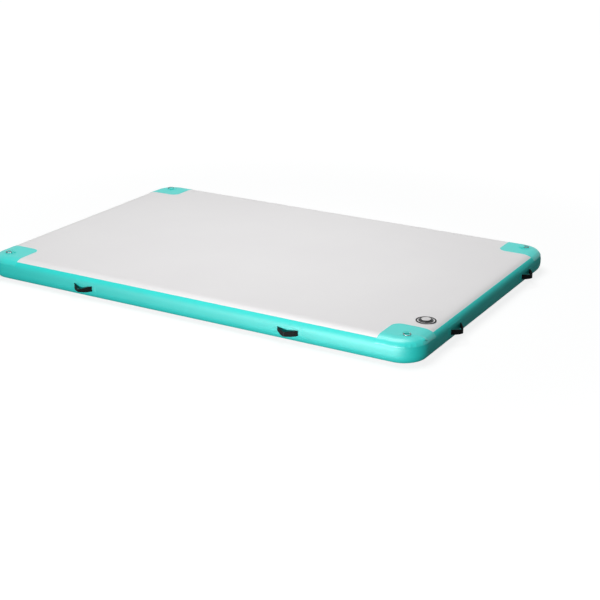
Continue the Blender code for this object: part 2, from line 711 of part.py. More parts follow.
def make_valve_inside(nut_material, poppet_material, rubber, steel, button_material):
    """Backing nut, and the sprung poppet that the button pushes off its seat."""
    cloth_underside = HEIGHT + CLOTH_INNER - VALVE_Z
    nut_top = cloth_underside - NUT_DROP
    outline = tube_outline(NECK_RADIUS + CLEARANCE, NUT_RADIUS, nut_top - NUT_THICKNESS, nut_top)
    lofted("valve_nut", turned(outline), nut_material, VALVE_PLACE, closed=True)

    seal_top = -NECK_LENGTH - CLEARANCE
    disc_top = seal_top - SEAL_THICKNESS - CLEARANCE
    outline = [
        (POPPET_RADIUS, disc_top - POPPET_THICKNESS),
        (POPPET_RADIUS, disc_top),
        (STEM_RADIUS, disc_top),
        (STEM_RADIUS, BUTTON_TOP - STEM_RECESS),
    ]
    lofted("valve_poppet", turned(outline), poppet_material, VALVE_PLACE)
    outline = tube_outline(
        STEM_RADIUS + CLEARANCE, POPPET_RADIUS, seal_top - SEAL_THICKNESS, seal_top
    )
    lofted("valve_poppet_seal", turned(outline), rubber, VALVE_PLACE, closed=True)

    button_low = BUTTON_TOP - BUTTON_THICKNESS
    bore = [circle(STEM_RADIUS + CLEARANCE, z) for z in (button_low, BUTTON_TOP)]
    shape = Matrix.Diagonal((BUTTON_LENGTH / 2, BUTTON_WIDTH / 2, 1))
    edge = [[shape @ point for point in circle(1, z)] for z in (button_low, BUTTON_TOP)]
    loops = [bore[0], edge[0], edge[1], bore[1]]
    lofted("valve_button", loops, button_material, VALVE_PLACE, closed=True)

    low = SPIDER_TOP + CLEARANCE + SPRING_WIRE / 2
    high = button_low - CLEARANCE - SPRING_WIRE / 2
    count = round(SPRING_TURNS * SPRING_STEPS)
    loops = []
    for step in range(count + 1):
        angle = math.tau * step / SPRING_STEPS
        centre = low + (high - low) * step / count
        loop = []
        for side in range(SPRING_SIDES):
            around = math.tau * side / SPRING_SIDES
            radius = SPRING_RADIUS + SPRING_WIRE / 2 * math.cos(around)
            z = centre + SPRING_WIRE / 2 * math.sin(around)
            loop.append(Vector((radius * math.cos(angle), radius * math.sin(angle), z)))
        loops.append(loop)
    lofted("valve_spring", loops, steel, VALVE_PLACE)


# Heights in the cap, stacked up from the top of the flange
CAP_GASKET_LOW = FLANGE_THICKNESS + CLEARANCE
SHOULDER_LOW = CAP_GASKET_LOW + CAP_GASKET_THICKNESS + CLEARANCE
LIP_LOW = SHOULDER_LOW + SHOULDER_THICKNESS + CLEARANCE
LIP_HIGH = LIP_LOW + TETHER_LIP_THICKNESS
CAP_LOW = LIP_HIGH + CLEARANCE
CAP_HIGH = CAP_LOW + CAP_TOP_THICKNESS
HINGE_Z = FLANGE_THICKNESS + BARREL_RADIUS - BARREL_DIP
PLUG_RADIUS = BORE_RADIUS - PLUG_CLEARANCE


def barrel_loops(radius, length):
    """Cylinder along Y at the tether's hinge."""
    loops = []
    for y in (-length / 2, length / 2):
        ring = circle(radius, 0, BARREL_STEPS)
        loops.append([Vector((p.x - HINGE_RADIUS, y, p.y + HINGE_Z)) for p in ring])
    return loops


def make_cap(material, rubber):
    """Hollow plug cap that turns in its tether ring, with a face gasket."""
    outline = [
        (PLUG_RADIUS - PLUG_WALL, SHOULDER_LOW),
        (PLUG_RADIUS - PLUG_WALL, FLANGE_THICKNESS - PLUG_DEPTH),
        (PLUG_RADIUS, FLANGE_THICKNESS - PLUG_DEPTH),
        (PLUG_RADIUS, SHOULDER_LOW),
        (SHOULDER_RADIUS, SHOULDER_LOW),
        (SHOULDER_RADIUS, SHOULDER_LOW + SHOULDER_THICKNESS),
        (WAIST_RADIUS, SHOULDER_LOW + SHOULDER_THICKNESS),
        (WAIST_RADIUS, CAP_LOW),
        (CAP_RADIUS, CAP_LOW),
        (CAP_RADIUS, CAP_HIGH),
        (CAP_DISH_RADIUS, CAP_HIGH),
        (CAP_DISH_RADIUS, CAP_HIGH - CAP_DISH_DEPTH),
    ]
    lofted("valve_cap", turned(outline), material, VALVE_PLACE)
    inner = PLUG_RADIUS + CLEARANCE
    high = CAP_GASKET_LOW + CAP_GASKET_THICKNESS
    outline = tube_outline(inner, inner + CAP_GASKET_WIDTH, CAP_GASKET_LOW, high)
    lofted("valve_cap_gasket", turned(outline), rubber, VALVE_PLACE, closed=True)


def make_tether(material):
    """Ring round the cap with a hinge barrel on one side and a lift tab on the other."""
    low = FLANGE_THICKNESS + CLEARANCE
    skirt = SHOULDER_RADIUS + CLEARANCE
    outline = [
        (skirt, low),
        (TETHER_OUTER_RADIUS, low),
        (TETHER_OUTER_RADIUS, LIP_HIGH),
        (WAIST_RADIUS + CLEARANCE, LIP_HIGH),
        (WAIST_RADIUS + CLEARANCE, LIP_LOW),
        (skirt, LIP_LOW),
    ]
    hinge_place = (VALVE_X - HINGE_RADIUS, VALVE_Y, VALVE_Z + HINGE_Z)
    shift = Vector((HINGE_RADIUS, 0, -HINGE_Z))
    ring = [[point + shift for point in loop] for loop in turned(outline)]
    tether = lofted("valve_cap_tether", ring, material, hinge_place, closed=True)
    root = TETHER_OUTER_RADIUS - BARREL_RADIUS
    lug_high = HINGE_Z + BARREL_RADIUS / 2
    half = LUG_WIDTH / 2
    lug = box_loops((-HINGE_RADIUS, -root), (-half, half), (low, lug_high))
    boolean(tether, "UNION", lofted("tether_lug", lug, place=VALVE_PLACE))
    barrel = lofted("tether_barrel", barrel_loops(BARREL_RADIUS, BARREL_LENGTH), place=VALVE_PLACE)
    boolean(tether, "UNION", barrel)
    half = LIFT_TAB_WIDTH / 2
    reach = (root, TETHER_OUTER_RADIUS + LIFT_TAB_REACH)
    tab = box_loops(reach, (-half, half), (low + WELD, lug_high))
    boolean(tether, "UNION", lofted("tether_lift_tab", tab, place=VALVE_PLACE))


def main():
    """Build every piece of the platform."""
    for item in list(bpy.data.objects):
        bpy.data.objects.remove(item, do_unlink=True)

    base_cloth = make_material("base_cloth", "#E9E9E4", 0.85)
    deck_skin = make_material("deck_skin", "#E5E5E3", 0.55)
    inner_tape = make_material("inner_tape", "#D8D8D6", 0.60)
    mint_band = make_material("mint_band", "#63E0D8", 0.42)
    mint_patch = make_material("mint_patch", "#5FD8CC", 0.48)
    black_webbing = make_material("black_webbing", "#15181A", 0.80)
    mint_webbing = make_material("mint_webbing", "#4FC2B8", 0.75)
    steel = make_material("stainless_steel", "#C8CBCC", 0.25, 1.0)
    black_plastic = make_material("black_plastic", "#1D1F21", 0.45)
    grey_plastic = make_material("grey_plastic", "#CFCDCD", 0.45)
    grey_patch = make_material("grey_patch", "#DEDCDC", 0.55)
    rubber = make_material("black_rubber", "#26282A", 0.80)

    valve_hole = make_valve_hole()
    make_core(base_cloth, valve_hole)
    make_skins(deck_skin, valve_hole)
    make_strips("inner_wall", WALL_EDGE_DROP, WALL_INNER, WALL_OUTER, inner_tape)
    make_strips("side_band", BAND_EDGE_DROP, BAND_INNER, BAND_OUTER, mint_band)
    make_corner_patches(mint_patch)
    make_d_rings(mint_patch, mint_webbing, steel)
    make_handles(mint_patch, black_webbing)
    make_valve_surround(grey_patch, black_plastic, rubber, valve_hole)
    make_housing(black_plastic)
    make_valve_inside(black_plastic, grey_plastic, rubber, steel, grey_plastic)
    make_cap(grey_plastic, rubber)
    make_tether(black_plastic)


main()
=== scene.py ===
import json
import math

import bmesh
import bpy
import numpy as np
from mathutils import Matrix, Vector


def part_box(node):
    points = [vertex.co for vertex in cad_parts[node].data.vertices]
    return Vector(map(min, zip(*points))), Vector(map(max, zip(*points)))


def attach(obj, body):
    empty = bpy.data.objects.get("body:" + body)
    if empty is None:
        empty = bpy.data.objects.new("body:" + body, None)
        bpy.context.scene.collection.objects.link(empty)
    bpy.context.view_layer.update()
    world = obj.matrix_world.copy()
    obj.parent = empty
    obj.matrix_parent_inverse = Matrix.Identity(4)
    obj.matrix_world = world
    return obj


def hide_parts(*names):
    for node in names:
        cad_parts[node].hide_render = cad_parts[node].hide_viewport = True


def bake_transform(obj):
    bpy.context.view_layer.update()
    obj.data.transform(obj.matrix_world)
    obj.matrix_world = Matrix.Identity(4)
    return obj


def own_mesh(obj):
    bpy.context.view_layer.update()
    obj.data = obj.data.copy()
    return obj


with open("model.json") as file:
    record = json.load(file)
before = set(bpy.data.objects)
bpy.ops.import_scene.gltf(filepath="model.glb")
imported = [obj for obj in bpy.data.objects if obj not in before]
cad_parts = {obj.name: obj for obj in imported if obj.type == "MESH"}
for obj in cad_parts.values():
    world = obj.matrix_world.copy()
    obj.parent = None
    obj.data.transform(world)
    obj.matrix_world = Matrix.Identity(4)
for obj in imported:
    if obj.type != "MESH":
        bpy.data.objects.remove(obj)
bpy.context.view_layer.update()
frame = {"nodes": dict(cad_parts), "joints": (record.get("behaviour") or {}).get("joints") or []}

# Inflatable floating platform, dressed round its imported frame.
# Metres, +Z up, origin at the centre of the underside, +X along the long side.

# The inflated body, as the frame has it: sizes that a patch, a seam or a row of stitches follows
body = {
    "length": 2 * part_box("side_band_right")[1].x,
    "width": 2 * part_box("side_band_back")[1].y,
    "height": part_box("top_skin")[1].z,
    "rimDepth": 0.095,         # from the flat deck out to the wall
    "rimPower": 2.70,          # squareness of the rounded edge
    "cornerRadius": 0.158,
    "glueLine": 0.0003,
    "skin": 0.0009,
    "band": 0.0009,
    "bandDrop": 0.015,         # band's edge, down from the deck
    "skinLap": 0.012,          # skin tucked under the band
    "valveHole": 0.0266,
    "ripple": 0.00035,         # how far the wall swells between its glued seams
    "rippleWaves": ((23, 5, 0.0), (-11, 31, 1.3), (47, 43, 2.1)),   # per metre in x and y, and start
    "rippleFade": (0.35, 0.9),     # shares of the edge's depth between which it comes in
}
glue = body["glueLine"]
bandOuter = glue + body["band"]
overBand = bandOuter + glue
skinDepth = body["rimDepth"] - bandOuter
spineX = body["length"] / 2 - body["rimDepth"]
spineY = body["width"] / 2 - body["rimDepth"]
spineRadius = body["cornerRadius"] - body["rimDepth"]
deckZ = body["height"]
zAxis = np.array([0, 0, 1.0])
# Middle of the underside of the valve's flange
valveLow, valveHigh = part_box("valve_gasket")
valveCentre = np.array([(valveLow.x + valveHigh.x) / 2, (valveLow.y + valveHigh.y) / 2,
                        valveHigh.z + glue])

sideAngles = {"front": 1.5 * math.pi, "right": 0.0, "back": 0.5 * math.pi, "left": math.pi}
cornerSigns = {
    "front_left": (-1, -1),
    "front_right": (1, -1),
    "back_right": (1, 1),
    "back_left": (-1, 1),
}
joints = {joint["name"]: joint for joint in frame["joints"]}


# Meshes

smoothUpTo = 40   # degrees between two faces up to which they are shaded as one


def gridFaces(rows, columns, wrapRows, wrapColumns):
    # Quads of a grid numbered row by row: each joins a point to its right, diagonal and lower
    # neighbours
    i, j = np.meshgrid(
        np.arange(rows if wrapRows else rows - 1),
        np.arange(columns if wrapColumns else columns - 1),
        indexing="ij",
    )
    below, right = (i + 1) % rows, (j + 1) % columns
    corners = [i * columns + j, i * columns + right, below * columns + right, below * columns + j]
    return np.stack(corners, -1).reshape(-1, 4)


def gridUv(rows, columns, u, v):
    # The same quads' corners in UV space: u runs down the rows and v along the columns
    i, j = np.meshgrid(np.arange(rows), np.arange(columns), indexing="ij")
    corners = [(u[i], v[j]), (u[i], v[j + 1]), (u[i + 1], v[j + 1]), (u[i + 1], v[j])]
    return np.stack([np.stack(pair, -1) for pair in corners], 2).reshape(-1, 2)


def makePiece(name, grids, material, sharp=smoothUpTo):
    # Mesh object from grids of points, each {"points", "wrap": (rows, columns), "uv": (u, v)}
    points, faces, uvs, start = [], [], [], 0
    for grid in grids:
        rows, columns = grid["points"].shape[:2]
        wrap = grid.get("wrap", (False, False))
        quads = gridFaces(rows, columns, *wrap)
        points.append(grid["points"].reshape(-1, 3))
        faces.append(quads + start)
        spans = [rows if wrap[0] else rows - 1, columns if wrap[1] else columns - 1]
        u, v = grid.get("uv", (np.arange(spans[0] + 1.0), np.arange(spans[1] + 1.0)))
        uvs.append(gridUv(*spans, u, v))
        start += rows * columns
    mesh = bpy.data.meshes.new(name)
    mesh.from_pydata(np.concatenate(points).tolist(), [], np.concatenate(faces).tolist())
    layer = mesh.uv_layers.new(name="surface")
    layer.data.foreach_set("uv", np.concatenate(uvs).astype(np.float32).ravel())
    return finishMesh(name, mesh, material, sharp)


def finishMesh(name, mesh, material, sharp):
    # Merges seams and poles, turns the faces outwards, and shades smooth up to an angle in degrees
    bm = bmesh.new()
    bm.from_mesh(mesh)
    bmesh.ops.remove_doubles(bm, verts=bm.verts, dist=2e-6)
    bmesh.ops.dissolve_degenerate(bm, edges=bm.edges, dist=1e-6)
    bmesh.ops.recalc_face_normals(bm, faces=bm.faces)
    bm.to_mesh(mesh)
    bm.free()
    mesh.shade_smooth()
    mesh.set_sharp_from_angle(angle=math.radians(sharp))
    mesh.materials.append(material)
    piece = bpy.data.objects.new(name, mesh)
    bpy.context.scene.collection.objects.link(piece)
    return piece


def unite(piece, *others, operation="UNION"):
    # Boolean, applied: the others become part of the piece, or are cut out of it
    for other in others:
        modifier = piece.modifiers.new(other.name, "BOOLEAN")
        modifier.operation = operation
        modifier.solver = "EXACT"
        modifier.object = other
    bpy.context.view_layer.update()
    evaluated = piece.evaluated_get(bpy.context.evaluated_depsgraph_get())
    mesh = bpy.data.meshes.new_from_object(evaluated)
    piece.modifiers.clear()
    piece.data = mesh
    mesh.shade_smooth()
    mesh.set_sharp_from_angle(angle=math.radians(smoothUpTo))
    for other in others:
        bpy.data.objects.remove(other, do_unlink=True)


def place(piece, bodyName, slotName, *nodes):
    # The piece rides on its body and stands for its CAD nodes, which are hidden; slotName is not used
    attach(piece, bodyName)
    if nodes:
        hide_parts(*nodes)


def dress(name, grids, look, bodyName, slotName, *nodes, sharp=smoothUpTo):
    # A new piece in one of the finishes, set in its place
    piece = makePiece(name, grids, finish[look], sharp)
    place(piece, bodyName, slotName, *nodes)
    return piece


def rectangle(x0, y0, x1, y1):
    # The four corners in order, from (x0, y0) along x first
    return [(x0, y0), (x1, y0), (x1, y1), (x0, y1)]


def rounded(corners, radius, closed=True, steps=4):
    # Outline with each corner replaced by a quadratic curve between points a radius away from it
    corners = np.array(corners, float)
    radius = np.broadcast_to(np.array(radius, float), len(corners))[:, None]
    before, after = np.roll(corners, 1, 0) - corners, np.roll(corners, -1, 0) - corners
    lengths = [np.linalg.norm(edge, axis=1, keepdims=True) for edge in (before, after)]
    first = corners + before * np.minimum(radius / lengths[0], 0.5)
    last = corners + after * np.minimum(radius / lengths[1], 0.5)
    t = np.linspace(0, 1, steps)[None, :, None]
    curve = ((1 - t) ** 2 * first[:, None] + 2 * t * (1 - t) * corners[:, None]
             + t ** 2 * last[:, None])
    if closed:
        return curve.reshape(-1, 2)
    return np.concatenate([corners[:1], curve[1:-1].reshape(-1, 2), corners[-1:]])


def ringSteps(count):
    # Angles at even steps round a full turn
    return np.arange(count) * (2 * math.pi / count)


def spokes(angle):
    # Unit vectors in a plane: the cosine and sine of each angle
    return np.stack([np.cos(angle), np.sin(angle)], -1)


def directions(line):
    # Unit vectors along a line at its points
    run = np.gradient(line, axis=0)
    return run / np.linalg.norm(run, axis=1, keepdims=True)


def lathe(outline, centre, count=96, closed=True):
    # Outline of (radius, height) turned about a vertical axis
    angle = ringSteps(count)
    radius, height = outline[:, :1] + 0 * angle, outline[:, 1:] + 0 * angle
    points = np.stack([radius * np.cos(angle), radius * np.sin(angle), height], -1)
    return {"points": points + np.array(centre), "wrap": (closed, True)}


def carry(path, across, rise, profile, closed=False):
    # Profile of (across, rise) carried along a path, with a fan of faces over each open end
    points = (path[:, None] + profile[None, :, :1] * across[:, None]
              + profile[None, :, 1:] * rise[:, None])
    around = np.linalg.norm(np.roll(profile, -1, 0) - profile, axis=1)
    v = np.concatenate([[0], np.cumsum(around)])
    u = pathLength(path, closed)
    grids = [{"points": points, "wrap": (closed, True), "uv": (u, v)}]
    if not closed:
        for end in (0, -1):
            middle = np.broadcast_to(path[end] + 0 * points[end], points[end].shape)
            grids.append({"points": np.stack([points[end], middle]), "wrap": (False, True),
                          "uv": (np.array([u[end], u[end]]), v)})
    return grids


def pathLength(path, closed=False):
    # Distance along a path at each of its points, and back at the start if it is closed
    ahead = np.roll(path, -1, 0) if closed else path[1:]
    return np.concatenate([[0], np.cumsum(np.linalg.norm(ahead - path[:len(ahead)], axis=1))])


def evenly(path, count):
    # The same curve with its points at even distances
    along = pathLength(path)
    return np.stack([np.interp(np.linspace(0, along[-1], count), along, c) for c in path.T], -1)


def smoothStep(low, high, value):
    # From 0 at low to 1 at high along 3 s^2 - 2 s^3, where s is the share of the way
    share = np.clip((value - low) / (high - low), 0, 1)
    return share * share * (3 - 2 * share)


# The surface of the inflated body

def section(angle, offset=0.0):
    # Superellipse round the edge: depth and height from powers of cosine and sine, moved out by an
    # offset along the normal, which is the gradient of (depth/a)^n + (height/b)^n
    power, n = 2 / body["rimPower"], body["rimPower"]
    across = np.abs(np.cos(angle)) ** power
    upward = np.sign(angle) * np.abs(np.sin(angle)) ** power
    normal = np.stack([across ** (n - 1) / skinDepth,
                       np.sign(upward) * np.abs(upward) ** (n - 1) / (deckZ / 2)])
    normal = normal / np.linalg.norm(normal, axis=0)
    return (skinDepth * across + normal[0] * offset,
            deckZ / 2 * (1 + upward) + normal[1] * offset)


def sectionAngle(height):
    # The angle at which the section passes a height
    rise = 2 * np.asarray(height, float) / deckZ - 1
    return np.arcsin(np.sign(rise) * np.abs(rise) ** (body["rimPower"] / 2))


def sectionRows(top, bottom, count):
    # Angles between two heights, at even distances along the section
    fine = np.linspace(sectionAngle(top), sectionAngle(bottom), 600)
    along = pathLength(np.stack(section(fine), -1))
    return np.interp(np.linspace(0, along[-1], count), along, fine)


def ripple(x, y, depth):
    # Slow swell of the wall between seams: three crossed sine waves, fading out towards the deck
    waves = sum(np.sin(a * x + b * y + start) for a, b, start in body["rippleWaves"])
    fade = smoothStep(*body["rippleFade"], depth / skinDepth)
    return body["ripple"] * (waves / len(body["rippleWaves"]) + 1) / 2 * fade


def onWall(spot, outward, angle, offset=0.0):
    # Points at spine spots (N) and section angles (M): the spot, pushed out by the section's depth
    nominal = section(angle)[0][:, None]
    flat = spot[None] + outward[None] * nominal[..., None]
    swell = ripple(flat[..., 0], flat[..., 1], nominal)
    depth, height = section(angle[:, None] + 0 * swell, offset + swell)
    flat = spot[None] + outward[None] * depth[..., None]
    return np.concatenate([flat, height[..., None]], -1)


def onDeck(x, y, offset=0.0):
    # Points over plan places: flat inside the spine, and down the section with the distance outside it
    qx, qy = np.abs(x) - spineX + spineRadius, np.abs(y) - spineY + spineRadius
    outX, outY = np.maximum(qx, 0), np.maximum(qy, 0)
    reach = np.hypot(outX, outY)
    depth = np.maximum(reach - spineRadius, 0)
    share = np.minimum(depth / skinDepth, 1)
    upward = (1 - share ** body["rimPower"]) ** (1 / body["rimPower"])
    safe = np.maximum(reach, 1e-9)
    slope = share ** (body["rimPower"] - 1) / skinDepth
    normal = np.stack([np.sign(x) * outX / safe * slope, np.sign(y) * outY / safe * slope,
                       upward ** (body["rimPower"] - 1) / (deckZ / 2)], -1)
    normal = normal / np.linalg.norm(normal, axis=-1, keepdims=True)
    offset = offset + ripple(x, y, depth)
    points = np.stack([x + 0 * upward, y + 0 * upward, deckZ / 2 * (1 + upward)], -1)
    return points + normal * np.asarray(offset)[..., None]


def perimeter(step=0.05, cornerSteps=18):
    # Spine spots and outward directions right round: straight runs in even steps, then quarter arcs
    spots, outwards = [], []
    for angle in sideAngles.values():
        outward = np.array([math.cos(angle), math.sin(angle)])
        along = np.array([-outward[1], outward[0]])
        half = spineY if abs(outward[0]) > 0.5 else spineX
        far = spineX if abs(outward[0]) > 0.5 else spineY
        reach = half - spineRadius
        shares = np.linspace(-1, 1, round(2 * reach / step) + 1)
        spots.append(outward * far + along * reach * shares[:, None])
        outwards.append(np.broadcast_to(outward, (len(shares), 2)))
        turn = angle + np.linspace(0, math.pi / 2, cornerSteps + 1)[1:-1]
        arms = spokes(turn)
        centre = outward * (far - spineRadius) + along * reach
        spots.append(centre + arms * spineRadius)
        outwards.append(arms)
    return np.concatenate(spots), np.concatenate(outwards)


def edgeThickness(distance, thickness, roundOver=0.0008):
    # Full thickness inside, falling in a quarter circle to nothing at the border
    share = np.clip(distance / roundOver, 0, 1)
    return thickness * np.sqrt(1 - (1 - share) ** 2)


# Materials

def toLinear(hexColour):
    # sRGB hex to linear: each channel through the sRGB curve
    value = np.array([int(hexColour[i:i + 2], 16) for i in (1, 3, 5)]) / 255
    value = np.where(value <= 0.04045, value / 12.92, ((value + 0.055) / 1.055) ** 2.4)
    return (*value.tolist(), 1.0)


def addNode(tree, kind, settings=None, links=None):
    # Adds one node, sets its inputs or properties, and links its inputs to (node, output) pairs
    node = tree.nodes.new(kind)
    for name, value in (settings or {}).items():
        if isinstance(name, int) or name in node.inputs:
            node.inputs[name].default_value = value
        else:
            setattr(node, name, value)
    for name, (source, output) in (links or {}).items():
        tree.links.new(source.outputs[output], node.inputs[name])
    return node


def addMath(tree, operation, *inputs):
    # Maths node whose inputs are numbers or (node, output) pairs
    links = {socket: value for socket, value in enumerate(inputs) if isinstance(value, tuple)}
    settings = {socket: value for socket, value in enumerate(inputs) if socket not in links}
    return addNode(tree, "ShaderNodeMath", {"operation": operation, **settings}, links)


def newMaterial(name, roughness, metallic=0.0, ior=1.5):
    # Material with its constants set on the shader's own sockets
    material = bpy.data.materials.new(name)
    material.use_nodes = True
    shader = material.node_tree.nodes["Principled BSDF"]
    shader.inputs["Roughness"].default_value = roughness
    shader.inputs["Metallic"].default_value = metallic
    shader.inputs["IOR"].default_value = ior
    return material, material.node_tree, shader


def waveScale(period):
    # Scale at which a band texture, which repeats every 2 pi / 20, does so once in a period in metres
    return 2 * math.pi / 20 / period


def tintBy(tree, shader, factor, low, high):
    # Base colour that goes from one hex colour to another with a factor
    mix = addNode(tree, "ShaderNodeMix", {"data_type": "RGBA", 6: toLinear(low), 7: toLinear(high)},
                  {0: factor})
    tree.links.new(mix.outputs[2], shader.inputs["Base Color"])


def roughenBy(tree, shader, factor, low, high):
    # Roughness that goes from low to high with a factor
    spread = addNode(tree, "ShaderNodeMapRange", {"To Min": low, "To Max": high}, {"Value": factor})
    tree.links.new(spread.outputs[0], shader.inputs["Roughness"])


def bumpBy(tree, shader, height, depth, under=None):
    # Bump of a height from 0 to 1 that stands for a real depth in metres, on top of one under it
    links = {"Height": height}
    if under:
        links["Normal"] = (under, 0)
    bump = addNode(tree, "ShaderNodeBump", {"Distance": depth, "Strength": 1.0}, links)
    tree.links.new(bump.outputs[0], shader.inputs["Normal"])
    return bump


def calenderedPvc(name, look):
    # PVC film pressed on to woven polyester: an even satin colour, a faint grid where the yarns pull
    # at the film, and a fine leathery grain from the rollers
    material, tree, shader = newMaterial(name, look["roughness"], ior=look["ior"])
    space = addNode(tree, "ShaderNodeTexCoord")
    cloud = addNode(tree, "ShaderNodeTexNoise", {"Scale": 1 / look["cloudSize"], "Detail": 3.0},
                    {"Vector": (space, "Object")})
    tintBy(tree, shader, (cloud, 0), look["shade"], look["colour"])
    roughenBy(tree, shader, (cloud, 0), look["roughness"] - look["spread"],
              look["roughness"] + look["spread"])
    bands = [
        addNode(tree, "ShaderNodeTexWave",
                {"bands_direction": axis, "Scale": waveScale(look["yarnPitch"]), "Distortion": 0.35,
                 "Detail": 1.0, "Detail Scale": 2.0},
                {"Vector": (space, "Object")})
        for axis in look["yarnAxes"]
    ]
    grid = addMath(tree, "MULTIPLY", (bands[0], 1), (bands[1], 1))
    dimples = bumpBy(tree, shader, (grid, 0), look["yarnDepth"])
    grain = addNode(tree, "ShaderNodeTexVoronoi", {"Scale": 1 / look["grainSize"]},
                    {"Vector": (space, "Object")})
    bumpBy(tree, shader, (grain, 0), look["grainDepth"], dimples)
    return material


def wovenWebbing(name, look):
    # Flat webbing woven in a herringbone: ribs a thread pitch apart that run one way and then the
    # other across the width, with painted shade between the ribs, slightly fuzzy, and painted paler
    # along a fold: a painted highlight of the crease, together with rub wear
    material, tree, shader = newMaterial(name, 0.85)
    shader.inputs["Specular IOR Level"].default_value = look["gloss"]
    shader.inputs["Sheen Weight"].default_value = look["sheen"]
    shader.inputs["Sheen Roughness"].default_value = 0.5
    space = addNode(tree, "ShaderNodeTexCoord")
    parts = addNode(tree, "ShaderNodeSeparateXYZ", links={"Vector": (space, "UV")})
    fold = addMath(tree, "PINGPONG", (parts, 1), look["chevron"])
    run = addMath(tree, "ADD", (parts, 0), (fold, 0))
    turn = addMath(tree, "MULTIPLY", (run, 0), 2 * math.pi / look["ribPitch"])
    wave = addMath(tree, "SINE", (turn, 0))
    rib = addNode(tree, "ShaderNodeMapRange", {"From Min": -1.0, "From Max": 1.0},
                  {"Value": (wave, 0)})
    fibre = addNode(tree, "ShaderNodeTexNoise", {"Scale": 1 / look["fibre"], "Detail": 2.0},
                    {"Vector": (space, "UV")})
    both = addMath(tree, "MULTIPLY_ADD", (fibre, 0), look["fibreShare"], (rib, 0))
    # Painted shade: the colour darkens between the ribs, in step with the bump
    ribs = addNode(tree, "ShaderNodeMix", {"data_type": "RGBA", 6: toLinear(look["shade"]),
                                           7: toLinear(look["colour"])}, {0: (rib, 0)})
    # Painted highlight of the crease: paler colour along the fold from a per-vertex attribute, with
    # rub wear
    foldGlintAndWear = addNode(tree, "ShaderNodeAttribute", {"attribute_name": "foldGlintAndWear"})
    glintedAndRubbed = addNode(tree, "ShaderNodeMix", {"data_type": "RGBA", 7: toLinear(look["foldGlintAndWornColour"])},
                     {0: (foldGlintAndWear, "Fac"), 6: (ribs, 2)})
    tree.links.new(glintedAndRubbed.outputs[2], shader.inputs["Base Color"])
    bumpBy(tree, shader, (both, 0), look["ribDepth"])
    return material


def mouldedPlastic(name, look):
    # Injection-moulded plastic: even colour, with the fine grain of a spark-eroded mould
    material, tree, shader = newMaterial(name, look["roughness"], ior=1.49)
    space = addNode(tree, "ShaderNodeTexCoord")
    grain = addNode(tree, "ShaderNodeTexNoise", {"Scale": 1 / look["grain"], "Detail": 4.0},
                    {"Vector": (space, "Object")})
    tintBy(tree, shader, (grain, 0), look["shade"], look["colour"])
    roughenBy(tree, shader, (grain, 0), look["roughness"] - look["spread"],
              look["roughness"] + look["spread"])
    bumpBy(tree, shader, (grain, 0), look["grainDepth"])
    return material


def satinSteel(name, look):
    # Drawn and tumbled stainless wire: a grey satin, with faint lines left along the draw
    low, high = look["roughness"]
    material, tree, shader = newMaterial(name, (low + high) / 2, metallic=1.0)
    space = addNode(tree, "ShaderNodeTexCoord")
    stretched = addNode(tree, "ShaderNodeMapping", {"Scale": look["lineScale"]},
                        {"Vector": (space, "UV")})
    lines = addNode(tree, "ShaderNodeTexNoise", {"Scale": 1.0, "Detail": 3.0},
                    {"Vector": (stretched, 0)})
    tintBy(tree, shader, (lines, 0), look["shade"], look["colour"])
    roughenBy(tree, shader, (lines, 0), low, high)
    bumpBy(tree, shader, (lines, 0), look["lineDepth"])
    return material


def wovenBaseCloth(name, look):
    # Plain-woven polyester before its coating: two sets of threads that cross, off white
    material, tree, shader = newMaterial(name, 0.9)
    space = addNode(tree, "ShaderNodeTexCoord")
    threads = [
        addNode(tree, "ShaderNodeTexWave",
                {"bands_direction": axis, "Scale": waveScale(look["threadPitch"])},
                {"Vector": (space, "Object")})
        for axis in "XY"
    ]
    weave = addMath(tree, "MAXIMUM", (threads[0], 1), (threads[1], 1))
    # Painted shade: darker colour where the threads are lowest, between them, in step with the bump
    tintBy(tree, shader, (weave, 0), look["shade"], look["colour"])
    bumpBy(tree, shader, (weave, 0), look["threadDepth"])
    return material


def polyesterThread(name, look):
    # Twisted sewing thread: ridges wind round each stitch
    material, tree, shader = newMaterial(name, 0.6)
    space = addNode(tree, "ShaderNodeTexCoord")
    twist = addNode(tree, "ShaderNodeTexWave",
                    {"bands_direction": "DIAGONAL", "Scale": waveScale(look["twistPitch"])},
                    {"Vector": (space, "Object")})
    # Painted shade: darker colour in the grooves of the twist, in step with the bump
    tintBy(tree, shader, (twist, 1), look["shade"], look["colour"])
    bumpBy(tree, shader, (twist, 1), look["twistDepth"])
    return material


# The real yarns are about 4 mm apart and the grain is finer: both are drawn coarser, to show
pvcLook = {
    "roughness": 0.5, "spread": 0.06, "ior": 1.5,
    "yarnPitch": 0.006, "yarnDepth": 0.00003, "yarnAxes": "XY",
    "grainSize": 0.0014, "grainDepth": 0.00004,
}
deckLook = {
    **pvcLook, "colour": "#EAE9E9", "shade": "#E3E1E2", "cloudSize": 0.6,
    "yarnPitch": 0.012, "yarnDepth": 0.00009, "grainSize": 0.0016, "grainDepth": 0.00003,
}
bandLook = {
    **pvcLook, "colour": "#1CDBD3", "shade": "#18D1C9", "roughness": 0.6, "cloudSize": 0.25,
    "yarnPitch": 0.008, "yarnDepth": 0.00009, "yarnAxes": "XZ",
    "grainSize": 0.0016, "grainDepth": 0.00009,
}
patchLook = {
    **pvcLook, "colour": "#1CDCD4", "shade": "#18D3CB", "roughness": 0.4, "ior": 1.7,
    "cloudSize": 0.12,
}
greyPatchLook = {**pvcLook, "colour": "#DDDBDB", "shade": "#D4D2D2", "cloudSize": 0.08}
tapeLook = {
    **pvcLook, "colour": "#DADAD8", "shade": "#D2D2D0", "roughness": 0.6, "cloudSize": 0.2,
    "yarnAxes": "XZ",
}
webbingLook = {"fibre": 0.0004, "fibreShare": 0.35}
plasticLook = {"spread": 0.08, "grain": 0.0007, "grainDepth": 0.00004}
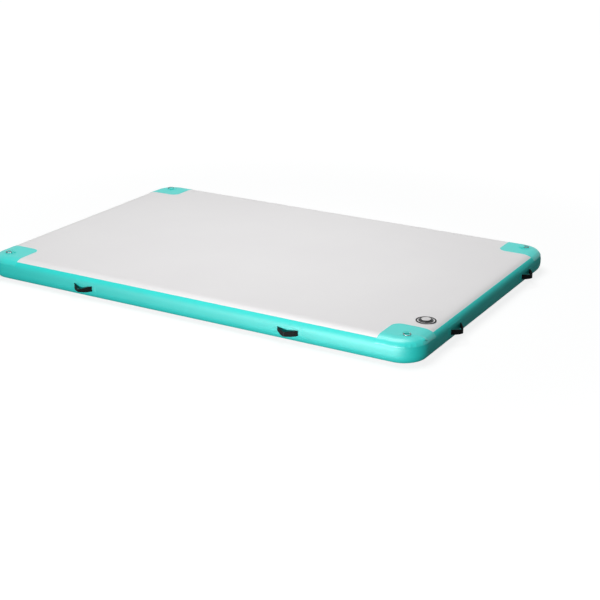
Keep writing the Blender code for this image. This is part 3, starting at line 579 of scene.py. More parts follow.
finish = {
    "deckPvc": calenderedPvc("calenderedPvcDeck", deckLook),
    "bandPvc": calenderedPvc("calenderedPvcBand", bandLook),
    "patchPvc": calenderedPvc("calenderedPvcPatch", patchLook),
    "greyPvc": calenderedPvc("calenderedPvcValvePatch", greyPatchLook),
    "tape": calenderedPvc("calenderedPvcInnerTape", tapeLook),
    "blackWebbing": wovenWebbing("wovenWebbingBlack", {
        **webbingLook, "colour": "#0D1213", "shade": "#050607", "foldGlintAndWornColour": "#3B4143",
        "ribPitch": 0.0022, "chevron": 0.0055, "ribDepth": 0.0004, "sheen": 0.02, "gloss": 0.1}),
    "mintWebbing": wovenWebbing("wovenWebbingMint", {
        **webbingLook, "colour": "#6AE8DF", "shade": "#4CD2C9", "foldGlintAndWornColour": "#8AE6DF",
        "ribPitch": 0.0018, "chevron": 0.0049, "ribDepth": 0.0002, "sheen": 0.05, "gloss": 0.4}),
    "blackPlastic": mouldedPlastic("mouldedNylonBlack", {
        **plasticLook, "colour": "#1C1E20", "shade": "#141617", "roughness": 0.48}),
    "trimPlastic": mouldedPlastic("mouldedPvcMattBlack", {
        **plasticLook, "colour": "#17191A", "shade": "#101112", "roughness": 0.85,
        "grainDepth": 0.00006}),
    "greyPlastic": mouldedPlastic("mouldedNylonPaleGrey", {
        **plasticLook, "colour": "#D6D4D4", "shade": "#CBC9C9", "roughness": 0.4}),
    "rubber": mouldedPlastic("mouldedSiliconeRubberBlack", {
        **plasticLook, "colour": "#2C2E30", "shade": "#232527", "roughness": 0.75,
        "grain": 0.0005, "grainDepth": 0.00003}),
    "steel": satinSteel("drawnStainlessSteel", {
        "colour": "#8B9092", "shade": "#7C8183", "roughness": (0.34, 0.5),
        "lineScale": (60.0, 4000.0, 1.0), "lineDepth": 0.00002}),   # per metre along and across
    "baseCloth": wovenBaseCloth("wovenPolyesterBaseCloth", {
        "colour": "#EDEDE7", "shade": "#D3D3CC", "threadPitch": 0.0012, "threadDepth": 0.0002}),
    "mintThread": polyesterThread("twistedThreadMint", {
        "colour": "#6FE0D6", "shade": "#3FAFA5", "twistPitch": 0.0004, "twistDepth": 0.00005}),
}
print("materials made:", len(finish))


# Skins and side band

skins = {
    "rimStart": 0.045,         # the flat deck's rays end here, out from the spine
    "rimGap": 0.003,           # from there to the first row of the section
    "crowding": 0.02,          # distance from the rim within which the rays' points crowd
    "deckRows": 26, "lapRows": 60, "baseRows": 36, "bandRows": 34,
    "bandEdge": (0, 0.0002, 0.0006),   # rows beside the band's edge, to the end of its rounding
    "bandStart": 0.003,        # from the edge to the even rows
}
spots, outwards = perimeter()


def shellOver(rowsOuter, rowsInner, poles=False):
    # Closed sheet from an outer and an inner set of rings, joined at their last ring and, unless they
    # start at poles, at their first
    return [{"points": np.concatenate([rowsOuter, rowsInner[::-1]]), "wrap": (not poles, True)}]


def makeDeckSkin():
    # Rays run from the valve's hole to the rim and go on down the section. Each point's distance
    # from the rim falls by equal factors, so that they crowd towards it
    centre = valveCentre[:2]
    rimStart, crowding = skins["rimStart"], skins["crowding"]
    rim = spots + outwards * rimStart
    arm = rim - centre
    length = np.linalg.norm(arm, axis=1, keepdims=True)
    hole = centre + arm / length * body["valveHole"]
    reach = length - body["valveHole"]
    share = np.linspace(0, 1, skins["deckRows"])[:, None, None]
    away = crowding * ((1 + reach / crowding) ** (1 - share) - 1)
    plan = hole + (rim - hole) * (1 - away / reach)
    lapEdge = deckZ - body["bandDrop"] - body["skinLap"]
    startHeight = section(sectionAngle(deckZ - 1e-9))[1]
    angles = sectionRows(startHeight, lapEdge, skins["lapRows"])
    angles = angles[section(angles)[0] > rimStart + skins["rimGap"]]
    layers = []
    for offset in (0.0, -body["skin"]):
        flat = onDeck(plan[..., 0], plan[..., 1], offset)
        layers.append(np.concatenate([flat, onWall(spots, outwards, angles, offset)]))
    dress("deckSkin", shellOver(*layers), "deckPvc", "platform", "deck_skin", "top_skin")


def makeBaseSkin():
    # The same lap and section as the deck, mirrored to the underside, with a flat middle
    lapEdge = deckZ - body["bandDrop"] - body["skinLap"]
    angles = sectionRows(deckZ, lapEdge, skins["baseRows"])
    layers = []
    for offset in (0.0, -body["skin"]):
        rim = onWall(spots, outwards, angles, offset)
        middle = np.stack([spots[:, 0], spots[:, 1], rim[0, :, 2]], -1)
        inner = middle * np.array([0.5, 0.5, 1]), middle * np.array([0, 0, 1])
        rings = np.concatenate([np.stack([inner[1], inner[0]]), rim])
        rings[..., 2] = deckZ - rings[..., 2]
        layers.append(rings)
    dress("baseSkin", shellOver(*layers, poles=True), "deckPvc",
          "platform", "deck_skin", "bottom_skin")


def makeSideBand():
    # One band right round: a closed strip section whose edges are rounded over
    edges = [body["bandDrop"] + d for d in skins["bandEdge"]]
    heights = np.array([deckZ - d for d in edges])
    start = body["bandDrop"] + skins["bandStart"]
    angles = np.concatenate([
        sectionAngle(heights),
        sectionRows(deckZ - start, start, skins["bandRows"]),
        sectionAngle(deckZ - heights[::-1]),
    ])
    nominal = section(angles)[1]
    border = np.minimum(np.abs(nominal - heights[0]), np.abs(nominal - (deckZ - heights[0])))
    thickness = edgeThickness(border, body["band"], skins["bandEdge"][-1])
    outer = onWall(spots, outwards, angles, glue + thickness[:, None])
    inner = onWall(spots, outwards, angles, glue)
    nodes = [f"side_band_{side}" for side in sideAngles]
    dress("sideBand", shellOver(outer, inner), "bandPvc", "platform", "mint_band", *nodes)


makeDeckSkin()
makeBaseSkin()
makeSideBand()
print("skins and side band made")


# Corner patches

cornerPatch = {
    "size": 0.255,             # from each side of the platform
    "fillet": 0.055,
    "drop": 0.040,             # lower edge, down from the deck
    "thickness": 0.0009,
    "closeRows": (0, 0.0002, 0.0005, 0.0009, 0.002),   # rows and columns beside its edges
    "deckGap": 0.004,          # from the spine to its first row on the section
    "bandStep": (0.006, 0.0005),   # it rises over the band's edge between these heights above it
    "gather": 0.0018,          # height of the little gathers round the bend, at the lower edge
    "gatherLength": 0.034,
    "gatherWaves": (25, 0.9, 7),   # ridges in a turn, and the size and number of waves in their pitch
    "foldPlace": (0.139, 0.131),   # a small fold: in from the front side, and up
    "foldHeight": 0.0050,
    "foldSize": (0.013, 0.014, 0.0035),   # half length, and the depth of its slopes above and below
    "foldLean": 0.12,
}


def cornerStations(spacing=0.005):
    # Spine spots round one corner, from the patch's edge on one side to its edge on the next, with
    # extra ones close to both edges
    lead = cornerPatch["size"] - body["cornerRadius"]
    run = np.concatenate([cornerPatch["closeRows"], np.arange(spacing, lead, spacing), [lead]])
    turn = np.linspace(0, math.pi / 2, 61)[1:-1]
    centre = np.array([spineX - spineRadius, spineY - spineRadius])
    first = np.stack([spineX + 0 * run, spineY - spineRadius - lead + run], -1)
    arms = spokes(turn)
    last = np.stack([spineX - spineRadius - lead + run[::-1], spineY + 0 * run], -1)
    east, north = np.array([1.0, 0.0]), np.array([0.0, 1.0])
    spot = np.concatenate([first, centre + arms * spineRadius, last])
    outward = np.concatenate([
        np.broadcast_to(east, first.shape), arms, np.broadcast_to(north, last.shape)])
    return spot, outward


def innerBorder(count):
    # The patch's border on the deck: along one edge, round the fillet and back along the other
    xEdge = body["length"] / 2 - cornerPatch["size"]
    yEdge = body["width"] / 2 - cornerPatch["size"]
    fillet = cornerPatch["fillet"]
    turn = 1.5 * math.pi - np.linspace(0, math.pi / 2, 25)
    arc = np.array([xEdge + fillet, yEdge + fillet]) + fillet * spokes(turn)
    line = np.concatenate([[[spineX, yEdge]], arc, [[xEdge, spineY]]])
    along = pathLength(line)
    return np.stack([np.interp(count * along[-1], along, c) for c in line.T], -1)


def borderDistance(points):
    # Distance from a grid's border, measured along its rows and its columns
    near = []
    for lines in (points, points.swapaxes(0, 1)):
        step = np.linalg.norm(np.diff(lines, axis=0), axis=-1)
        along = np.concatenate([np.zeros((1, step.shape[1])), np.cumsum(step, 0)])
        near.append(np.minimum(along, along[-1] - along))
    return np.minimum(near[0], near[1].T)


def makeCornerPatch(corner, folded):
    # Sheet from its border on the deck out to the rim and down over the band's edge
    signX, signY = cornerSigns[corner]
    spot, outward = cornerStations()
    shares = pathLength(spot) / pathLength(spot)[-1]
    border = innerBorder(shares)
    flatShares = np.concatenate([[0, 0.002, 0.005, 0.01], np.linspace(0.03, 1, 24)])[:, None, None]
    flat = border[None] + (spot - border)[None] * flatShares
    dropEdge = deckZ - cornerPatch["drop"]
    *close, start = cornerPatch["closeRows"]
    angles = np.concatenate([
        sectionRows(deckZ, dropEdge + start, 62)[1:],
        sectionAngle(dropEdge + np.array(close[::-1])),
    ])
    angles = angles[section(angles)[0] > cornerPatch["deckGap"]]
    # Where the patch crosses from the skin on to the band it rises by the band's thickness
    nominal = section(angles)[1]
    bandEdge = deckZ - body["bandDrop"]
    high, low = cornerPatch["bandStep"]
    rise = smoothStep(bandEdge + high, bandEdge + low, nominal)
    base = glue + (overBand - glue) * rise
    lower = np.concatenate([
        onDeck(flat[..., 0], flat[..., 1], glue),
        onWall(spot, outward, angles, base[:, None]),
    ])
    thickness = edgeThickness(borderDistance(lower), cornerPatch["thickness"])
    # Gathers: squared sine ridges that fan out round the bend and fade upwards from the lower edge
    turn = np.arctan2(outward[:, 1], outward[:, 0])[None]
    below = smoothStep(dropEdge + cornerPatch["gatherLength"], dropEdge, lower[..., 2])
    count, waver, waverCount = cornerPatch["gatherWaves"]
    waves = np.sin(count * turn + waver * np.sin(waverCount * turn) + signX + 2 * signY)
    ridges = np.maximum(waves, 0) ** 2
    lift = cornerPatch["gather"] * ridges * np.sin(2 * turn) ** 2 * below
    if folded:
        # Fold: a swelling that comes out slowly from above its line and goes back fast below it
        inset, height = cornerPatch["foldPlace"]
        length, above, under = cornerPatch["foldSize"]
        along = (body["width"] / 2 - inset - lower[..., 1]) / length
        lean = cornerPatch["foldLean"] * (lower[..., 1] - body["width"] / 2 + inset)
        over = lower[..., 2] - height - lean
        shape = np.exp(-np.where(over > 0, over / above, over / under) ** 2 - along ** 2)
        lift = lift + cornerPatch["foldHeight"] * shape * (lower[..., 0] > spineX)
    base = base[:, None] + lift[len(flat):]
    upper = np.concatenate([
        onDeck(flat[..., 0], flat[..., 1], glue + thickness[:len(flat)]),
        onWall(spot, outward, angles, base + thickness[len(flat):]),
    ])
    lower = np.concatenate([lower[:len(flat)], onWall(spot, outward, angles, base)])
    mirror = np.array([signX, signY, 1])
    grids = [{"points": upper * mirror}, {"points": lower * mirror}]
    dress(f"cornerPatch_{corner}", grids, "patchPvc",
          "platform", "mint_patch", f"corner_patch_{corner}")


for corner in cornerSigns:
    makeCornerPatch(corner, corner == "front_right")
print("corner patches made")


# Stitches

stitch = {
    "thread": 0.0006,
    "sink": 0.25,              # share of the thread sunk into the cloth
    "pitch": 0.003,
    "gap": 0.0007,
}


def stitches(starts, ends, normals):
    # Spindles laid end to end: an ellipsoid along each stitch, part sunk into the cloth
    given = (starts, ends, normals)
    starts, ends, normals = (np.atleast_2d(np.array(value, float)) for value in given)
    middle, run = (starts + ends) / 2, ends - starts
    length = np.linalg.norm(run, axis=1, keepdims=True)
    run, side = run / length, np.cross(normals, run / length)
    t, a = np.linspace(0, math.pi, 7), ringSteps(6)
    t, a = np.meshgrid(t, a, indexing="ij")
    along, across, up = -np.cos(t), np.sin(t) * np.cos(a), np.sin(t) * np.sin(a)
    thread = stitch["thread"]
    centre = middle + normals * thread * (0.5 - stitch["sink"])
    points = (centre[:, None, None] + run[:, None, None] * along[..., None] * length[:, None, None] / 2
              + side[:, None, None] * across[..., None] * thread / 2
              + normals[:, None, None] * up[..., None] * thread / 2)
    return [{"points": one, "wrap": (False, True)} for one in points]


def seamLine(path, normal, pitch=stitch["pitch"]):
    # Stitches along a path, each a pitch long less a gap
    count = max(round(pathLength(path)[-1] / pitch), 1)
    marks = evenly(path, count + 1)
    run = marks[1:] - marks[:-1]
    inset = run / np.linalg.norm(run, axis=1, keepdims=True) * stitch["gap"] / 2
    return stitches(marks[:-1] + inset, marks[1:] - inset, np.broadcast_to(normal, run.shape))


# D-rings

ringFit = {
    "patchRadius": 0.038,
    "patchThickness": 0.0009,
    "wire": 0.0045,
    "innerWidth": 0.036,
    "bend": 0.005,
    "arm": 0.008,
    "backset": 0.006,          # bar, in from the patch's centre
    "tab": 0.0014,             # webbing thickness
    "tabClearance": 0.0005,
    "tabSideClearance": 0.0006,
    "tabTail": 0.026,
    "tabSlope": 0.009,
    "tabWrap": math.radians(210),
    "tabSoftBend": 0.004,      # where the top layer comes down on the bottom one
    "tabHalf": 0.47,           # half its drawn thickness, as a share of tab: the layers don't touch
    "tabEdge": 0.0006,
    "threadRows": (0.0125, 0.0165, 0.0235),    # behind the bar
    "threadShare": 0.86,       # of the tab's width
}


def cornerFrame(corner):
    # Bar's place, and unit vectors out to the corner and along the bar
    joint = joints[f"d_ring_{corner}_lift"]
    bar = np.array(joint["pos_m"])
    outward = np.array([*cornerSigns[corner], 0]) / math.sqrt(2)
    along = np.array([outward[1], -outward[0], 0])
    return bar, outward, along


def makeRingPatch(corner):
    # Round patch: polar grid on the deck's surface with a rounded border
    bar, outward = cornerFrame(corner)[:2]
    centre = bar + outward * ringFit["backset"]
    radius = ringFit["patchRadius"] * np.concatenate([np.linspace(0, 0.97, 14), [0.985, 0.995, 1]])
    angle = ringSteps(72)
    x = centre[0] + radius[:, None] * np.cos(angle)
    y = centre[1] + radius[:, None] * np.sin(angle)
    base = 2 * glue + cornerPatch["thickness"]
    thickness = edgeThickness(ringFit["patchRadius"] - radius, ringFit["patchThickness"])[:, None]
    grids = [{"points": onDeck(x, y, base + thickness + 0 * x), "wrap": (False, True)},
             {"points": onDeck(x, y, base + 0 * x), "wrap": (False, True)}]
    dress(f"ringPatch_{corner}", grids, "patchPvc",
          "platform", "mint_patch", f"d_ring_patch_{corner}")


def makeRingTab(corner):
    # Webbing folded round the bar: bottom layer, loop, and top layer laid back on the bottom one
    bar, outward, along = cornerFrame(corner)
    radius = ringFit["wire"] / 2 + ringFit["tabClearance"] + ringFit["tab"] / 2
    lapped = glue + ringFit["tab"] - radius
    turn = np.linspace(0, ringFit["tabWrap"], 30) - math.pi / 2
    loop = radius * spokes(turn)
    corners = np.concatenate([
        [[-ringFit["tabTail"], -radius]], loop,
        [[-ringFit["tabSlope"], lapped], [-ringFit["tabTail"], lapped]]])
    bend = np.full(len(corners), 0.0001)
    bend[-2] = ringFit["tabSoftBend"]
    line = evenly(rounded(corners, bend, closed=False, steps=6), 90)
    path = bar + line[:, :1] * outward + line[:, 1:] * zAxis
    tangent = directions(line)
    rise = -tangent[:, 1:] * outward + tangent[:, :1] * zAxis
    across = np.broadcast_to(along, path.shape)
    half = (ringFit["innerWidth"] / 2 - ringFit["bend"] + ringFit["wire"] / 2
            - ringFit["tabSideClearance"])
    thin = ringFit["tab"] * ringFit["tabHalf"]
    corners = [(half, -thin), (half, thin), (-half, thin), (-half, -thin)]
    grids = carry(path, across, rise, rounded(corners, ringFit["tabEdge"]))
    dress(f"ringTab_{corner}", grids, "mintWebbing",
          "platform", "mint_webbing", f"d_ring_tab_{corner}")
    # Rows of thread hold the top layer down behind the bar
    grids = []
    top = lapped + ringFit["tab"] / 2
    for back in ringFit["threadRows"]:
        middle = bar - outward * back
        ends = [middle + along * side * half * ringFit["threadShare"] + np.array([0, 0, top])
                for side in (-1, 1)]
        grids += seamLine(np.array(ends), zAxis)
    dress(f"ringTabThread_{corner}", grids, "mintThread", "platform", "mint_webbing", sharp=180)


def makeDRing(corner):
    # Round wire carried along a D: straight bar, two bends, short arms and a half circle
    bar, outward, along = cornerFrame(corner)
    half = (ringFit["innerWidth"] + ringFit["wire"]) / 2
    arm, bend = ringFit["bend"] + ringFit["arm"], ringFit["bend"]
    quarter = np.linspace(0, math.pi / 2, 9)
    arc = np.linspace(0, math.pi, 41)
    path = np.concatenate([
        np.stack([half - bend + bend * np.sin(quarter), bend - bend * np.cos(quarter)], -1),
        np.stack([half * np.cos(arc), arm + half * np.sin(arc)], -1),
        np.stack([bend - half - bend * np.cos(quarter), bend - bend * np.sin(quarter)], -1),
    ])
    base = 2 * glue + cornerPatch["thickness"] + ringFit["patchThickness"]
    drop = bar[2] - ringFit["wire"] / 2 - (deckZ + base + glue)
    tilt = math.asin(drop / (arm + half))
    forward = outward * math.cos(tilt) - np.array([0, 0, math.sin(tilt)])
    upward = np.cross(along, forward)
    tangent = np.roll(path, -1, 0) - np.roll(path, 1, 0)
    tangent /= np.linalg.norm(tangent, axis=1, keepdims=True)
    points = bar + path[:, :1] * along + path[:, 1:] * forward
    across = -tangent[:, 1:] * along + tangent[:, :1] * forward
    circle = ringFit["wire"] / 2 * spokes(ringSteps(16))
    rise = np.broadcast_to(upward, points.shape)
    grids = carry(points, across, rise, circle, closed=True)
    dress(f"dRing_{corner}", grids, "steel",
          f"d_ring_{corner}", "stainless_steel", f"d_ring_{corner}")


for corner in cornerSigns:
    makeRingPatch(corner)
    makeRingTab(corner)
    makeDRing(corner)
print("D-rings made")


# Handles

handleFit = {
    "patchLength": 0.185,
    "patchHeight": 0.076,
    "patchFillet": 0.016,
    "patchThickness": 0.0011,
    "patchRound": 0.0010,      # rounding of the patch's edge
    "standOff": 0.0026,        # hinge line, out from the patch's inner face
    "tailLength": 0.020,       # webbing that runs on under the patch
    "tailBulge": 0.0014,
    "tailSlope": (0.003, -0.001),  # the bulge comes in between these distances outside the tail
    "span": 0.133,
    "reach": 0.044,
    "droop": 0.005,
    "height": 0.033,
    "foldHeight": 0.027,
    "thickness": 0.0024,
    "webShare": 0.86,          # thickness between the selvedges, which are thicker
    "selvedge": (0.84, 0.9),   # where a selvedge rises, in shares of the half height
    "edge": 0.0008,
    "power": 0.75,
    "root": 0.0021,            # how far inside the hinge line the strap starts
    "foldGlintAndWearWidth": 0.0022,
    "blendReach": 0.018,
    "threadInset": 0.004,      # stitched box, in from the tail's edges
    "threadFarInset": 0.003,
    "stitch": 0.0026,
}
# Each strap's own shape: the radius of its fold, where a small one is a sharp crease, how far its
# lower edge is tucked up at one end and its upper edge dips in the middle, and how strongly the
# fold is painted paler: a painted highlight of the crease, together with rub wear
handleShapes = {
    "front_left": {"fold": 0.013, "tuck": 0.001, "dip": 0.009, "foldGlintAndWear": 0.1},
    "front_right": {"fold": 0.0015, "tuck": 0.011, "dip": 0.0, "foldGlintAndWear": 0.8},
    "right_front": {"fold": 0.006, "tuck": 0.003, "dip": 0.002, "foldGlintAndWear": 0.4},
    "right_back": {"fold": 0.009, "tuck": 0.002, "dip": 0.003, "foldGlintAndWear": 0.3},
    "back_right": {"fold": 0.010, "tuck": 0.004, "dip": 0.005, "foldGlintAndWear": 0.2},
    "back_left": {"fold": 0.004, "tuck": 0.006, "dip": 0.001, "foldGlintAndWear": 0.6},
    "left_back": {"fold": 0.012, "tuck": 0.002, "dip": 0.006, "foldGlintAndWear": 0.2},
    "left_front": {"fold": 0.007, "tuck": 0.003, "dip": 0.002, "foldGlintAndWear": 0.4},
}


def handleFrame(name):
    # Strap's place, and unit vectors along the wall and out of it
    joint = joints[f"handle_{name}_swing"]
    angle = sideAngles[name.split("_")[0]]
    outward = np.array([math.cos(angle), math.sin(angle), 0])
    along = np.array([math.sin(angle), -math.cos(angle), 0])
    return np.array(joint["pos_m"]), along, outward


def makeHandlePatch(name):
    # Rounded rectangle on the wall: rings from the middle out to the border, raised over the tails
    origin, along, outward = handleFrame(name)
    halfX, halfZ = handleFit["patchLength"] / 2, handleFit["patchHeight"] / 2
    corners = [(halfX, -halfZ), (halfX, halfZ), (-halfX, halfZ), (-halfX, -halfZ)]
    # The quadratic curve hugs its corner more than a circle does, so it starts a quarter further off
    outline = rounded(corners, handleFit["patchFillet"] * 1.25, steps=9)
    outline = evenly(np.concatenate([outline, outline[:1]]), 161)[:-1]
    shares = np.concatenate([np.linspace(0, 0.97, 30), [0.98, 0.988, 0.994, 0.998, 1]])
    x = shares[:, None] * outline[:, 0]
    z = shares[:, None] * outline[:, 1]
    border = (1 - shares)[:, None] * np.linalg.norm(outline, axis=1)[None]
    thickness = edgeThickness(border, handleFit["patchThickness"], handleFit["patchRound"])
    # Over a tail: the product of two smooth steps, one along the webbing and one across it
    tailX, tailZ = handleFit["tailLength"] / 2, handleFit["height"] / 2
    outside, inside = handleFit["tailSlope"]
    fromTail = np.abs(np.abs(x) - (handleFit["span"] / 2 + tailX))
    overTail = (smoothStep(tailX + outside, tailX + inside, fromTail)
                * smoothStep(tailZ + outside, tailZ + inside, np.abs(z)))
    thickness = thickness + handleFit["tailBulge"] * overTail
    wall = abs(origin @ outward) - glue - handleFit["standOff"] - body["rimDepth"]
    sideways = along[:2] * (x + origin @ along)[..., None]
    layers = []
    for offset in (thickness, 0 * thickness):
        angle = sectionAngle(deckZ / 2 + z)
        nominal = section(angle)[0]
        flat = outward[:2] * (wall + nominal)[..., None] + sideways
        swell = ripple(flat[..., 0], flat[..., 1], nominal)
        depth, height = section(angle, overBand + swell + offset)
        flat = outward[:2] * (wall + depth)[..., None] + sideways
        layers.append(np.concatenate([flat, height[..., None]], -1))
    grids = [{"points": layer, "wrap": (False, True)} for layer in layers]
    dress(f"handlePatch_{name}", grids, "bandPvc", "platform", "mint_patch", f"handle_patch_{name}")


def strapLine(name):
    # Plan curve of a strap: out = reach * w^power, where w goes from 0 at an end to 1 in the middle
    # and a hyperbola in place of |x| rounds the fold
    half, soft = handleFit["span"] / 2, handleShapes[name]["fold"]
    x = -half * np.cos(np.linspace(0, math.pi, 600))
    far, near = math.hypot(half, soft), soft
    w = np.clip((far - np.hypot(x, soft)) / (far - near), 0, 1)
    y = handleFit["reach"] * w ** handleFit["power"]
    ends = np.array([[-half, -handleFit["root"]], [half, -handleFit["root"]]])
    return evenly(np.concatenate([ends[:1], np.stack([x, y], -1), ends[1:]]), 97)


def makeHandleStrap(name):
    # Webbing on edge: a flat rounded profile carried along the plan curve. Its middle droops with its
    # share of the reach and its height narrows with that share's cube. The tuck comes in by a smooth
    # step towards one end, and the dip is a squared cosine round the middle
    origin, along, outward = handleFrame(name)
    own = handleShapes[name]
    line = strapLine(name)
    tangent = directions(line)
    share = np.clip(line[:, 1] / handleFit["reach"], 0, 1)
    half = handleFit["height"] / 2 - (handleFit["height"] - handleFit["foldHeight"]) / 2 * share ** 3
    middle = -handleFit["droop"] * share
    fromMiddle = line[:, 0] / handleFit["span"] * 2
    tuck = own["tuck"] * smoothStep(0.2, 1, fromMiddle)
    half, middle = half - tuck / 2, middle + tuck / 2
    dip = own["dip"] * np.cos(math.pi / 2 * np.clip(fromMiddle, -1, 1)) ** 2
    half, middle = half - dip / 2, middle - dip / 2
    path = origin + line[:, :1] * along + line[:, 1:] * outward + middle[:, None] * zAxis
    across = -tangent[:, 1:] * along + tangent[:, :1] * outward
    thick = handleFit["thickness"] / 2
    thin = thick * handleFit["webShare"]
    low, high = handleFit["selvedge"]
    front = [(thick, -1), (thick, -high), (thin, -low), (thin, low), (thick, high), (thick, 1)]
    shape = np.array([(-thick, -1), *front, (-thick, 1), (-thick, high), (-thin, low), (-thin, -low),
                      (-thick, -high)])
    loop = rounded(shape * np.array([1, handleFit["height"] / 2]), handleFit["edge"])
    rise = zAxis * (half / (handleFit["height"] / 2))[:, None]
    piece = makePiece(f"handleStrap_{name}", carry(path, across, rise, loop), finish["blackWebbing"])
    # The painted highlight of the crease, with its rub wear, falls off as a bell curve with the
    #     # distance from the fold
    places = np.empty(3 * len(piece.data.vertices), np.float32)
    piece.data.vertices.foreach_get("co", places)
    away = (places.reshape(-1, 3) - origin) @ along / handleFit["foldGlintAndWearWidth"]
    foldGlintAndWear = piece.data.attributes.new("foldGlintAndWear", "FLOAT", "POINT")
    foldGlintAndWear.data.foreach_set("value", (own["foldGlintAndWear"] * np.exp(-away ** 2)).astype(np.float32))
    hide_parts(f"handle_strap_{name}")
    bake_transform(piece)


def makeHandleThread(name):
    # A box of stitches with a cross in it over each buried tail
    origin, along, outward = handleFrame(name)
    grids = []
    high = handleFit["height"] / 2 - handleFit["threadInset"]
    inset = (handleFit["threadInset"], handleFit["tailLength"] - handleFit["threadFarInset"])
    surface = -handleFit["standOff"] + handleFit["patchThickness"] + handleFit["tailBulge"]
    widest = section(sectionAngle(deckZ / 2))[0]
    for side in (-1, 1):
        near, far = (side * (handleFit["span"] / 2 + d) for d in inset)
        box = rectangle(near, -high, far, high)
        for first, last in ((0, 1), (1, 2), (2, 3), (3, 0), (0, 2), (1, 3)):
            flat = evenly(np.array([box[first], box[last]]), 12)
            drop = widest - section(sectionAngle(deckZ / 2 + flat[:, 1]))[0]
            path = (origin + flat[:, :1] * along + flat[:, 1:] * zAxis
                    + (surface - drop)[:, None] * outward)
            grids += seamLine(path, outward, handleFit["stitch"])
    dress(f"handleThread_{name}", grids, "mintThread", "platform", "mint_patch", sharp=180)


for name in handleShapes:
    makeHandlePatch(name)
    makeHandleStrap(name)
    makeHandleThread(name)
print("handles made")


# Valve, with heights measured from the underside of its flange

valve = {
    "patchRadius": 0.056, "patchThickness": 0.0009, "patchEdge": 0.0004,
    "trimOuter": 0.059, "trimWidth": 0.009, "trimThickness": 0.0012, "trimEdge": 0.0006,
    "flange": 0.043, "flangeThickness": 0.0026,
    "flangeBevel": (0.0016, 0.0014),   # in from the rim, and the height of its lower edge
    "groove": 0.0345,          # outer edge, just outside the tether ring
    "grooveIn": (0.0006, 0.0016, 0.0022),  # its floor's edges and its inner edge, in from there
    "grooveFloor": 0.0022,
    "troughGap": 0.0003,       # round the tether's hinge barrel
    "neck": 0.026, "neckLength": 0.038, "bore": 0.021, "seat": 0.0165, "seatThickness": 0.004,
    "spiderTop": -0.021, "spiderThickness": 0.003, "hub": 0.0058, "hubEdge": 0.0003,
    "bars": 3, "barWidth": 0.003, "barEdge": 0.0005,
    "barSink": (0.0005, 0.0008, 0.0004),   # into the hub, into the neck's wall, below the hub's faces
    "stem": 0.0028, "stemDrop": 0.0006,    # stem's end, below the button's top
    "poppet": 0.0192, "poppetThickness": 0.0025, "poppetEdge": 0.0005, "seal": 0.002,
    "buttonTop": -0.0062, "buttonThickness": 0.0036, "buttonLength": 0.024, "buttonWidth": 0.016,
    "buttonDish": 0.0007,      # depth of the dish on top
    "buttonRim": (0.86, 0.72), # shares of the way out between which its side falls
    "spring": 0.0052, "springWire": 0.0012, "springTurns": 3.5,
}
cap = {
    "plugWall": 0.0042, "plugDepth": 0.003, "plug": 0.0203,
    "gasket": 0.001, "gasketWidth": 0.0042, "gasketEdge": 0.00045,
    "shoulder": 0.0252, "shoulderThickness": 0.001, "waist": 0.024,
    "lip": 0.0012, "tether": 0.031, "radius": 0.0275, "top": 0.0016,
    "dish": 0.021, "dishDepth": 0.0006, "dishSlope": 0.0006,
    "bead": (0.0092, 0.0088, 0.0076, 0.0072), "beadHeight": 0.0004,    # raised ring in the dish
    "flutes": 30, "fluteDepth": 0.0007,
    "fluteRim": (0.0012, 0.0002),      # the flutes come in between these distances from the rim
    "barrel": 0.0018, "barrelLength": 0.014, "barrelDip": 0.0008, "barrelEdge": 0.0005,
    "hinge": 0.0362, "lug": 0.012, "lugEdge": 0.0005,
    "liftWidth": 0.010, "liftReach": 0.0055, "liftEdge": 0.0008, "liftGap": 0.0005,
    "ribs": (0.0012, 0.0026, 0.0040), "ribWidth": 0.0007, "ribInset": 0.0012, "ribHeight": 0.0004,
    "ribEdge": 0.0003,
}


def conformalRing(name, inner, outer, low, high, edge, material):
    # Flat ring laid on the deck: a rounded section of (radius, offset) turned about the valve's axis
    loop = rounded(rectangle(inner, low, outer, high), edge)
    angle = ringSteps(96)
    # Long sides get points between, to follow the deck
    runs = []
    for first, last in zip(loop, np.roll(loop, -1, 0)):
        parts = 8 if np.linalg.norm(last - first) > 0.003 else 1
        runs.append(first + (last - first) * np.arange(parts)[:, None] / parts)
    loop = np.concatenate(runs)
    x = valveCentre[0] + loop[:, :1] * np.cos(angle)
    y = valveCentre[1] + loop[:, :1] * np.sin(angle)
    points = onDeck(x, y, loop[:, 1:] + 0 * x)
    return makePiece(name, [{"points": points, "wrap": (True, True)}], material)


def makeValveSurround():
    # Reinforcing patch round the valve's hole, and the trim ring on it
    low = glue
    high = low + valve["patchThickness"]
    patch = conformalRing("valvePatch", body["valveHole"], valve["patchRadius"], low, high,
                          valve["patchEdge"], finish["greyPvc"])
    place(patch, "platform", "grey_patch", "valve_patch")
    low = high + glue
    high = low + valve["trimThickness"]
    inner = valve["trimOuter"] - valve["trimWidth"]
    trim = conformalRing("valveTrimRing", inner, valve["trimOuter"], low, high,
                         valve["trimEdge"], finish["trimPlastic"])
    place(trim, "platform", "black_plastic", "valve_trim_ring")


def roundedBox(lowCorner, highCorner, edge, centre):
    # Small box with rounded edges: a rounded outline carried up and drawn in at both ends
    (x0, y0, z0), (x1, y1, z1) = lowCorner, highCorner
    loop = rounded(rectangle(x0, y0, x1, y1), edge)
    middle = np.array([(x0 + x1) / 2, (y0 + y1) / 2])
    inset = (loop - middle) / np.array([(x1 - x0) / 2, (y1 - y0) / 2])
    rings = []
    bend = edge * 0.6
    for drawIn, z in ((1, z0), (0.4, z0), (0, z0 + bend), (0, z1 - bend), (0.4, z1), (1, z1)):
        shape = np.broadcast_to(middle if drawIn == 1 else loop - inset * edge * drawIn, loop.shape)
        rings.append(np.concatenate([shape, np.full((len(loop), 1), z)], 1))
    return {"points": np.stack(rings) + np.array(centre), "wrap": (False, True)}


